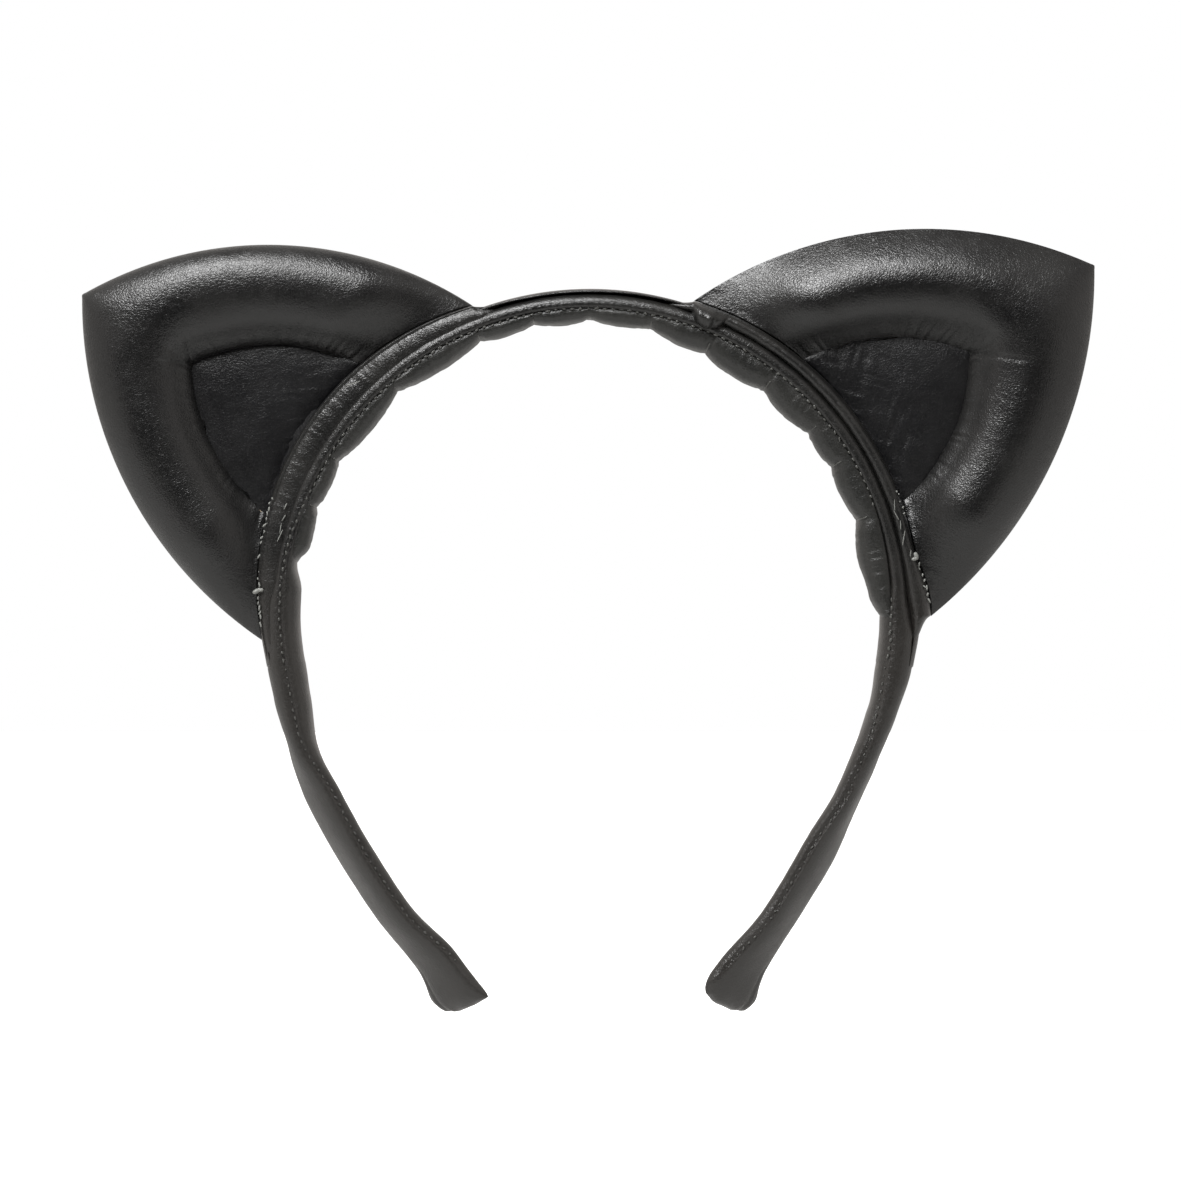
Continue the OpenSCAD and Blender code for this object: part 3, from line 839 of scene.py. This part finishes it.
def strip_rings():
    """Rings of the strip: its edges stand a little off the sleeve here and there, and its ends thin out."""
    a = np.linspace(-99.6, 99.6, 480)
    wave = noise(stack(np.radians(a) * 66, 0, 0), 11, 31)
    angle = np.linspace(0, 2 * np.pi, 44, endpoint=False)
    taper = smooth((99.9 - np.abs(a)) / 9)
    y = (5.0 + 0.25 * wave * taper)[:, None] * signed_power(np.cos(angle), 0.7)
    edge = np.abs(y / 5.3) ** 5
    middle, half_t, half_w, _ = crown_shape(a)
    sleeve = middle[:, None] + front_of(y, half_w[:, None], half_t[:, None])
    lift = (0.3 + 0.35 * wave)[:, None] * edge * taper[:, None]
    thick = (0.08 + 0.3 * taper)[:, None] * signed_power(np.sin(angle), 0.6)
    return hoop_point(sleeve + (0.3 * taper)[:, None] + thick + lift, a[:, None], y)


def make_strip():
    piece = tube("crown_outer_strip", strip_rings(), BAND_LEATHER)
    finish_piece(piece, "crown", ["crown_top_strip"])


# -------- ears


def ear_point(side, u, v, y):
    a = math.radians(EAR_ANGLE[side])
    return stack(v * math.sin(a) + u * math.cos(a), y, HOOP_Z + v * math.cos(a) - u * math.sin(a))


def base_seam_r(side, a):
    rise = BASE_RISE[side] * np.cos(np.radians(90 * np.clip(np.abs(a) / 37, 0, 1)))
    return BASE_R + rise + (2.6 * smooth((a - 22) / 13) if side == RIGHT else 0)


def base_seam(side, a):
    return polar(base_seam_r(side, a), a)


def arc_circle(p, q, bow):
    """Centre and radius of an arc from p to q that stands out by the bow, and its two directions."""
    chord = np.linalg.norm(q - p)
    r = chord**2 / (8 * bow) + bow / 2
    along = (q - p) / chord
    inward = np.array([-along[1], along[0]])
    return (p + q) / 2 + inward * (r - bow), r, along, inward


def bowed(p, q, bow, t):
    """Points at t from 0 to 1 along an arc from p to q that stands out by the bow."""
    centre, r, along, inward = arc_circle(p, q, bow)
    angle = ((2 * t - 1) * np.arcsin(np.linalg.norm(q - p) / 2 / r))[:, None]
    return centre + r * (along * np.sin(angle) - inward * np.cos(angle))


def two_sided(x, curve):
    """Joins curve(-1) and curve(1), the two halves of an outline, which are both drawn with u above 0."""
    points = np.where((x < 0)[:, None], curve(-1), curve(1))
    return np.stack([np.where(x < 0, -1, 1) * points[:, 0], points[:, 1]], axis=-1)


def ear_outer(side, x):
    """The ear's edge, from x = -1 at one base corner, over the tip at 0, to 1 at the other."""
    tip = np.array([0, TIP_R[side]])

    def curve(sign):
        number = int(sign > 0)
        start = base_seam(side, EAR_ENDS[side][number]) * (sign, 1)
        return bowed(start, tip, EAR_BOW[side][number], 1 - np.abs(x))

    return two_sided(x, curve)


def panel_tip(side, grow):
    return np.array([0, PANEL_TIP_R[side] + grow * 1.6])


def panel_outer(side, x, grow=0.0):
    """The inner panel's edge in the same way, moved out by how far it grows."""

    def curve(sign):
        corner = base_seam(side, sign * PANEL_HALF) * (sign, 1) + np.array([grow, 0])
        return bowed(corner, panel_tip(side, grow), PANEL_BOW, 1 - np.abs(x))

    return two_sided(x, curve)


def rim_plane(side, x, w):
    """Flat points of the rim, as rows along x and columns from w = 0 at the edge to 1 at the panel."""
    outer, panel = ear_outer(side, x), panel_outer(side, x)
    flat = outer[:, None] + (panel - outer)[:, None] * w[None, :, None]
    share = (np.clip(2 * np.abs(x) - 1, 0, 1) ** 2)[:, None, None]
    for sign in (-1, 1):
        end = EAR_ENDS[side][sign > 0]
        seam = base_seam(side, end + (sign * PANEL_HALF - end) * w)
        straight = seam[0] + (seam[-1] - seam[0]) * w[:, None]
        flat += (seam - straight)[None] * share * (np.sign(x) == sign)[:, None, None]
    return flat


# Where the rim's crest lies and how full its outer slope is, at places along each ear's edge
RIM_CREST = {
    LEFT: [(-1, 0.82), (-0.1, 0.82), (0.15, 0.76), (1, 0.8)],
    RIGHT: [(-1, 1.3), (-0.55, 1.12), (-0.1, 0.95), (0.1, 0.8), (0.5, 0.92), (1, 0.95)],
}
RIM_FULL = {
    LEFT: [(-1, 0.8), (0.0, 0.68), (0.3, 0.58), (1, 0.62)],
    RIGHT: [(-1, 1.0), (-0.1, 1.0), (0.1, 0.85), (0.5, 0.76), (1, 0.76)],
}
RIM_STEPS = 96
RIM_COLUMNS = 27


def inside_arcs(plane, corners, tip, bows):
    """How far inside each of its two curved sides a point of the plane lies."""
    depths = []
    for sign, corner, bow in zip((-1, 1), corners, bows):
        centre, r, _, _ = arc_circle(corner * (sign, 1), tip, bow)
        depths.append(r - np.linalg.norm(plane - centre * (sign, 1), axis=-1))
    return depths


def panel_depths(side, plane, grow=0.0):
    corners = [base_seam(side, sign * PANEL_HALF) + (sign * grow, 0) for sign in (-1, 1)]
    return inside_arcs(plane, corners, panel_tip(side, grow), (PANEL_BOW, PANEL_BOW))


def rim_share(side, plane):
    """0 at the ear's edge to 1 at the panel, rounded where the two arms of the rim meet."""
    corners = [base_seam(side, end) for end in EAR_ENDS[side]]
    edge = inside_arcs(plane, corners, np.array([0, TIP_R[side]]), EAR_BOW[side])
    edge = np.maximum(np.array(edge), 1e-4)
    from_edge = np.sum(edge**-2.5, axis=0) ** (-1 / 2.5)
    beyond = np.maximum(-np.array(panel_depths(side, plane)), 0)
    from_panel = np.sum(beyond**2.2, axis=0) ** (1 / 2.2)
    return from_edge / (from_edge + from_panel)


def rim_height(side, x, plane):
    """Height of the stuffed rim, which is pinched where it meets the band."""
    along = 0.42 + 0.58 * smooth((1 - np.abs(x)) / 0.26)
    crest = eased(x, RIM_CREST[side])[:, None]
    full = eased(x, RIM_FULL[side])[:, None]
    share = rim_share(side, plane)
    return RIM_H * along[:, None] * np.clip(np.sin(np.pi * share**crest), 0, 1) ** full


def rim_grid(side):
    x = np.linspace(-1, 1, 2 * RIM_STEPS + 1)
    w = (1 - np.cos(np.linspace(0, np.pi, RIM_COLUMNS))) / 2
    plane = rim_plane(side, x, w)
    height = rim_height(side, x, plane)
    height[:, [0, -1]] = 0
    front = ear_point(side, plane[..., 0], plane[..., 1], -0.25 - height)
    under = ear_point(side, plane[:, ::-2, 0], plane[:, ::-2, 1], -0.2)[:, 1:-1]
    return np.concatenate([front, under], axis=1), x, w


def rim_pins(rings, x):
    pinned = np.zeros(rings.shape[:2], bool)
    pinned[:, 0] = True
    pinned[:, RIM_COLUMNS - 1 :] = True
    pinned[np.abs(x) > 0.985] = True
    return pinned


# Creases of each rim in the ear's own plane: start, end, width and depth. Most run out from the panel's tip
CREASES = {
    LEFT: [
        ((-0.5, 100.6), (-4.9, 108.2), 0.45, 0.5),
        ((0.4, 100.6), (5.4, 104.8), 0.4, 0.4),
        ((8.4, 110.3), (16.0, 98.2), 0.3, 0.16),
    ],
    RIGHT: [
        ((0.8, 98.0), (12.6, 111.8), 0.55, 0.5),
        ((0.3, 98.4), (-1.2, 104.0), 0.35, 0.3),
        ((0.6, 98.4), (1.4, 104.4), 0.35, 0.3),
        ((0.9, 98.4), (3.6, 104.0), 0.35, 0.3),
        ((-1.5, 97.8), (-4.5, 103.0), 0.35, 0.22),
    ],
}


def ear_plane(side, points):
    """Places in the ear's own plane, across and up from the hoop's centre."""
    a = math.radians(EAR_ANGLE[side])
    x, z = points[..., 0], points[..., 2] - HOOP_Z
    return np.stack([x * math.cos(a) - z * math.sin(a), x * math.sin(a) + z * math.cos(a)], axis=-1)


def crease(plane, start, end, width, depth):
    """Depth of a narrow crease with soft lips, which fades out towards its end."""
    start, end = np.array(start), np.array(end)
    length = np.linalg.norm(end - start)
    along = (plane - start) @ (end - start) / length**2
    wobble = 0.25 * noise(stack(plane[..., 0], 0, plane[..., 1]), 2.5, 45)
    offset = (plane - start) @ np.array([start[1] - end[1], end[0] - start[0]]) / length + wobble
    reach = smooth((1 - along) / 0.8) * smooth((along + 0.15) / 0.15)
    return depth * reach * (near(offset, 0, width) - 0.35 * near(offset, 0, width * 3.2))


def rim_details(side, rings, x, w):
    """Puckers along the two seams, slow unevenness of the stuffing, and creases."""
    columns = len(w)
    edge = near(w, 0, 0.09)[None, :] + near(w, 1, 0.12)[None, :]
    room = (4 * w * (1 - w))[None, :] ** 0.35
    pucker = noise(stack(x * 110, 0, 0), 2.2, 41 + side)[:, None] * edge * 0.26
    front = rings[:, :columns]
    slow = noise(front, 14, 42 + side) * 0.3 + noise(front, 4.5, 43 + side) * 0.06
    plane = ear_plane(side, front)
    dents = sum(crease(plane, *values) for values in CREASES[side])
    base = near(np.abs(x), 1, 0.05)[:, None]
    gathers = noise(stack(plane[..., 0], 0, plane[..., 1]), 1.3, 44) * 0.12 * base
    rings = rings.copy()
    valley = 0.55 * near(w, 0.88, 0.08)
    rings[:, :columns, 1] -= (slow + pucker + gathers - dents - valley) * room
    return rings


def make_rim(side):
    rings, x, w = rim_grid(side)
    rings = inflated(rings, rim_pins(rings, x))
    front = refined(refined(rings[:, :RIM_COLUMNS], 0), 1)
    under = refined(rings[:, RIM_COLUMNS:], 0)
    rings = np.concatenate([front, under], axis=1)
    x = np.linspace(-1, 1, 4 * RIM_STEPS + 1)
    w = (1 - np.cos(np.linspace(0, np.pi, 2 * RIM_COLUMNS - 1))) / 2
    rings = rim_details(side, rings, x, w)
    word = SIDES[side]
    piece = tube(f"{word}_ear_rim", rings, EAR_LEATHER)
    finish_piece(piece, "crown", [f"{word}_ear_rim_cover", f"{word}_ear_rim_padding"])


def closed_outline(side, outer, first, last, steps):
    """The closed outline of an ear or panel: its two sides and the base seam between them."""
    x = np.linspace(0, 1, steps + 1)
    right, left = outer(x), outer(-x[::-1])
    base = base_seam(side, np.linspace(last, first, 2 * steps + 1)[1:-1])
    return np.concatenate([right, base, left[:-1]])


def shrunk(side, outline, centre_r, shares, depths):
    """Rings from an outline towards a place up the ear's middle, one for each share of the way and depth."""
    centre = np.array([0, centre_r])
    plane = outline + (centre - outline) * np.array(shares)[:, None, None]
    return ear_point(side, plane[..., 0], plane[..., 1], np.reshape(depths, (-1, 1)))


def panel_height(side, plane):
    """A flat cushion: it rises softly from the seam on all three sides."""
    sides = panel_depths(side, plane, PANEL_TUCK)
    r = np.linalg.norm(plane, axis=-1)
    base = r - base_seam_r(side, np.degrees(np.arctan2(plane[..., 0], plane[..., 1])))
    depth = np.maximum(np.array([*sides, base]), 1e-3)
    return 1.15 * (1 - np.exp(-0.22 * np.sum(depth**-2.0, axis=0) ** -0.5))


def panel_wrinkles(side, rings):
    """Slow unevenness, and fine crossing wrinkles of thin leather near the base of the right ear's panel."""
    slow = noise(rings, 7, 51 + side) * 0.22 + noise(rings, 2.6, 52 + side) * 0.05
    plane = ear_plane(side, rings)
    slant = stack(plane[..., 0] * 0.8 + plane[..., 1] * 0.6, 0, plane[..., 1] * 0.8 - plane[..., 0] * 0.6)
    fine = noise(slant, (0.9, 1, 5), 53 + side) + 0.6 * noise(slant, (4, 1, 1.1), 54)
    low = near(plane[..., 1], BASE_R + 4, 8) * (0.13 if side == RIGHT else 0.06)
    return slow + fine * low


def make_panel(side):
    """The inner triangle: a flatter cushion of duller leather that sinks into the seam round it."""
    outline = closed_outline(side, lambda x: panel_outer(side, x, PANEL_TUCK), -PANEL_HALF, PANEL_HALF, 160)
    w = 1 - np.cos(np.linspace(0, np.pi / 2, 34))
    rings = shrunk(side, outline, (PANEL_TIP_R[side] + BASE_R) / 2, [0.9, 0.0, *w[:-1]], -0.5)
    rings[2:, :, 1] -= panel_height(side, ear_plane(side, rings[2:]))
    share = smooth(np.arange(len(rings) - 2) / 7)[:, None]
    rings[2:, :, 1] -= panel_wrinkles(side, rings)[2:] * share
    word = SIDES[side]
    piece = tube(f"{word}_ear_panel", rings, PANEL_LEATHER)
    finish_piece(piece, "crown", [f"{word}_ear_inner_panel"])


def make_back(side):
    """The ear's back: one padded piece of leather, sewn to the rim all round."""
    outline = closed_outline(side, lambda x: ear_outer(side, x), *EAR_ENDS[side], 150)
    w = 1 - np.cos(np.linspace(0, np.pi / 2, 40))
    rise = 0.25 + 3.9 * (1 - (1 - w) ** 3) ** 0.5
    shares, depths = [0.9, 0.03, 0.0, *w[:-1]], [0.6, 0.6, 0.1, *rise[:-1]]
    rings = shrunk(side, outline, BACK_CENTRE_R, shares, depths)
    wrinkle = noise(rings, 14, 61 + side) * 0.5 + noise(rings, 5, 62 + side) * 0.12
    rings[3:, :, 1] += wrinkle[3:] * smooth(np.arange(len(rings) - 3) / 12)[:, None]
    word = SIDES[side]
    piece = tube(f"{word}_ear_back", rings, EAR_LEATHER)
    finish_piece(piece, "crown", [f"{word}_ear_back_panel", f"{word}_ear_back_wadding"])


# -------- binding between an ear and the band


# The gathered knob at the start of the right ear's front binding, in degrees round the hoop
KNOB_ANGLE, KNOB_SPREAD = 21.8, 3.1
# How many degrees a binding runs past the ear's corners, the radius of its groove, and its height
BINDING_PAST = 5.0
GROOVE_R = {LEFT: 65.7, RIGHT: 67.0}
BINDING_H = 3.35


def binding_knob(side, face, a):
    """How much of the gathered knob there is: it's only at the start of the right ear's front binding."""
    if (side, face) != (RIGHT, -1):
        return np.zeros(a.shape)
    return np.clip(1 - ((a - KNOB_ANGLE) / KNOB_SPREAD) ** 2, 0, 1) ** 0.6


def binding_profile(side, across):
    """Height over the binding: a plain roll on the right, and a broad face with a fine welt on the left."""
    if side == RIGHT:
        return BINDING_H * np.clip(1 - (2 * across - 1) ** 2, 0, 1) ** 0.42
    face = BINDING_H * np.clip(1 - (2 * across - 1) ** 2, 0, 1) ** 0.17
    return face - 0.75 * across + 0.7 * near(across, 0.93, 0.05)


def binding_rings(side, face):
    """A crescent of leather from the band's outer corner up to the ear's base seam.

    It sinks to a groove where it meets the band, and runs out past the ear's corners. Its hidden side lies
    behind the rim, and comes to the ear's middle near the corners, to close them.
    """
    first, last = EAR_ENDS[side]
    local = np.linspace(first - BINDING_PAST, last + BINDING_PAST, 400)
    a = local + EAR_ANGLE[side]
    past = np.maximum(np.maximum(first - local, local - last), 0)
    ends = np.sqrt(np.clip(1 - (past / (BINDING_PAST + 0.05)) ** 2, 0.0004, 1))
    knob = binding_knob(side, face, a)[:, None]
    groove = GROOVE_R[side] + (crown_outer(a) - CROWN_OUT_R) * 0.9
    groove = groove[:, None] - 2.5 * knob
    seam = base_seam_r(side, np.clip(local, first, last)) - 0.2
    seam = seam + (crown_outer(a) - 0.3 - seam) * np.clip(past / BINDING_PAST, 0, 1) ** 0.6
    top = np.maximum(seam[:, None], groove + 0.5)
    angle = np.linspace(0, 2 * np.pi, 84, endpoint=False)
    across = (1 - np.cos(angle)) / 2
    front = (np.sin(angle) > 0.001)[None, :]
    r = groove + (top - groove) * across
    bulge = 2.1 * knob * np.clip(1 - (2 * across - 0.92) ** 2, 0, 1) ** 0.7
    roll = binding_profile(side, across)[None, :] * ends[:, None] * (0.4 + 0.6 * ends)[:, None] + bulge
    corner = smooth((np.maximum(first - local, local - last) + 9) / 9)[:, None]
    hidden = 2.5 - 2.4 * corner
    y = np.where(front, hidden + 0.25 + 2.4 * corner * np.clip(np.sin(angle), 0, 1) ** 0.3 + roll, hidden)
    rings = hoop_point(r, a[:, None], y * face)
    along = stack(np.radians(a)[:, None] * 67, r * 0.3, 0)
    fine = noise(along, (0.75, 1, 1), 72) * 0.05 + noise(along, (1.3, 1, 1), 73) * 0.42 * knob
    wave = noise(rings, (4, 4, 4), 71 + side) * 0.2 + fine
    rings[..., 1] += wave * welted(angle) * face
    return rings


def welted(angle):
    """Full on the binding's front, and nothing at its two edges or its hidden side."""
    return np.clip(np.sin(angle), 0, 1) ** 0.5


def make_binding(side, face, word_face):
    word = SIDES[side]
    rings = binding_rings(side, face)
    piece = tube(f"{word}_ear_{word_face}_binding", rings, BAND_LEATHER)
    finish_piece(piece, "crown", [f"{word}_ear_{word_face}_flap"])


# -------- loose stitches along an ear's base


# Stretches of each ear's base seam where its hand stitches show, in degrees from the ear's middle, and knots
BASE_STITCHES = {
    LEFT: [(-22, -12, 0.9), (-34, -25, 0.8)],
    RIGHT: [(26, 33, 0.8), (13, 17, 0.4)],
}
BASE_KNOTS = {LEFT: [-28.5], RIGHT: [24.7]}
# Short pale threads that lie on the binding: angle, radius, and tilt from the seam's direction
BASE_LOOPS = {
    LEFT: [(-13, 68.6, 0.1), (-15, 68.3, 0.25), (-16.5, 67.9, -0.1), (-18, 68.0, 0.2), (12, 70.2, 0.5)],
    RIGHT: [(15, 68.4, 0.3), (17, 68.1, -0.2), (19, 68.4, 0.25), (21, 68.6, 0.4), (24, 69.0, 0.3)],
}


def make_base_stitches(side):
    """Hand stitches in the crease between ear and band, their knots, and stray loops of the same thread."""
    spots = []
    for start, end, size in BASE_STITCHES[side]:
        for a in np.arange(start, end, 0.95):
            spots.append((a, base_seam_r(side, a) - 0.5, -5.15, size, 0.4, 0.0))
    for a in BASE_KNOTS[side]:
        r = base_seam_r(side, a)
        spots += [(a, r - 0.4, -5.4, 1.3, 1.0, 0.4), (a + 0.5, r - 0.9, -5.6, 0.9, 0.8, 1.2)]
    for a, r, tilt in BASE_LOOPS[side]:
        spots.append((a, r, -6.2, 2.4, 0.2, tilt))
    a, r, y, length, thick, tilt = np.array(spots).T
    index = numbered(len(a))
    a = a + EAR_ANGLE[side] + 0.45 * noise(index, 0.7, 81 + side)
    out = outward(a)
    tilt = (tilt + 0.9 * noise(index, 0.8, 83 + side) * (thick > 0.3))[:, None]
    places = hoop_point(r + 0.3 * noise(index, 0.6, 85), a, y + 0.3 * noise(index, 0.9, 86))
    directions = np.cross(out, BACKWARD) * np.cos(tilt) + out * np.sin(tilt)
    length = length * (1 + 0.6 * noise(index, 0.7, 87))
    word = SIDES[side]
    name = f"{word}_ear_base_stitches"
    piece = beads(name, places, directions, -BACKWARD, length, thick, BASE_THREAD)
    finish_piece(piece, "crown", [f"{word}_ear_base_thread"])


# -------- carried-over CAD nodes


def paint(node, material):
    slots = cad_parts[node].data.materials
    slots.clear()
    slots.append(material)
    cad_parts[node].data.shade_smooth()


def paint_kept_nodes():
    paint("crown_core", SPRING_STEEL)
    for word in SIDES.values():
        paint(f"{word}_ear_stiffener", BOARD)


# -------- studio


def make_key_light():
    """One big soft light, high in front and a little to the left."""
    place, target = Vector((-0.27, -0.6, 0.86)), Vector((0, 0, -0.04))
    data = bpy.data.lights.new("key_softbox", "AREA")
    data.shape = "RECTANGLE"
    data.size = data.size_y = 0.5
    data.energy = 22.0
    lamp = added("key_softbox", data)
    lamp.location = place
    lamp.rotation_euler = (target - place).to_track_quat("-Z", "Y").to_euler()


def make_world():
    """White to the camera. For lighting, a pale studio that is dark behind the camera and dim overhead."""
    world = bpy.data.worlds.new("studio")
    bpy.context.scene.world = world
    world.use_nodes = True
    nodes, links = world.node_tree.nodes, world.node_tree.links
    nodes.clear()
    output = nodes.new("ShaderNodeOutputWorld")
    seen = nodes.new("ShaderNodeBackground")
    seen.inputs["Color"].default_value = (1, 1, 1, 1)
    seen.inputs["Strength"].default_value = 1.0
    room = nodes.new("ShaderNodeBackground")
    place = nodes.new("ShaderNodeTexCoord")
    split = nodes.new("ShaderNodeSeparateXYZ")
    links.new(place.outputs["Generated"], split.inputs["Vector"])
    strength = ranged(nodes, links, split.outputs["Y"], 0.0, 0.88, -0.91, -0.475)
    overhead = ranged(nodes, links, split.outputs["Z"], 1.0, 0.3, 0.7, 0.93)
    both = nodes.new("ShaderNodeMath")
    both.operation = "MULTIPLY"
    links.new(strength, both.inputs[0])
    links.new(overhead, both.inputs[1])
    links.new(both.outputs["Value"], room.inputs["Strength"])
    room.inputs["Color"].default_value = (1.0, 0.955, 0.915, 1)
    path = nodes.new("ShaderNodeLightPath")
    mix = nodes.new("ShaderNodeMixShader")
    links.new(path.outputs["Is Camera Ray"], mix.inputs["Fac"])
    links.new(room.outputs["Background"], mix.inputs[1])
    links.new(seen.outputs["Background"], mix.inputs[2])
    links.new(mix.outputs["Shader"], output.inputs["Surface"])


def make_floor():
    """A plain pale floor under the legs, a little self-lit so that it reads as white paper."""
    size, front, drop = 3.0, -0.35, 0.03
    low = CAD_BOX[0].z - drop
    corners = [(-size, front, low), (size, front, low), (size, size, low), (-size, size, low)]
    mesh = bpy.data.meshes.new("floor")
    mesh.from_pydata(corners, [], [(0, 1, 2, 3)])
    floor = added("floor", mesh)
    material, nodes, links, shader = new_material("floor_paper")
    shader.inputs["Base Color"].default_value = (0.62, 0.62, 0.61, 1)
    shader.inputs["Roughness"].default_value = 0.9
    shader.inputs["Emission Color"].default_value = (1, 1, 1, 1)
    path = nodes.new("ShaderNodeLightPath")
    links.new(path.outputs["Is Camera Ray"], shader.inputs["Emission Strength"])
    mesh.materials.append(material)


def make_studio():
    make_world()
    make_floor()
    make_key_light()


def make_camera():
    """Level and straight in front, from a metre away, as for a catalogue picture."""
    distance, height, lens = 1.0, -0.0572, 142.6
    data = bpy.data.cameras.new("camera")
    data.lens = lens
    data.sensor_width = 36.0
    camera = added("camera", data)
    camera.location = (0.0001, -distance, height)
    camera.rotation_euler = (math.radians(90), 0, 0)
    bpy.context.scene.camera = camera


# -------- everything


bpy.context.scene.view_settings.view_transform = "Standard"
make_camera()
make_studio()
make_band()
make_crown_stitches()
make_lining()
make_lining_ties()
make_strip()
for side in SIDES:
    make_leg_inside(side)
    make_leg_stitches(side)
    make_rim(side)
    make_panel(side)
    make_back(side)
    make_binding(side, -1, "front")
    make_binding(side, 1, "back")
    make_base_stitches(side)
paint_kept_nodes()
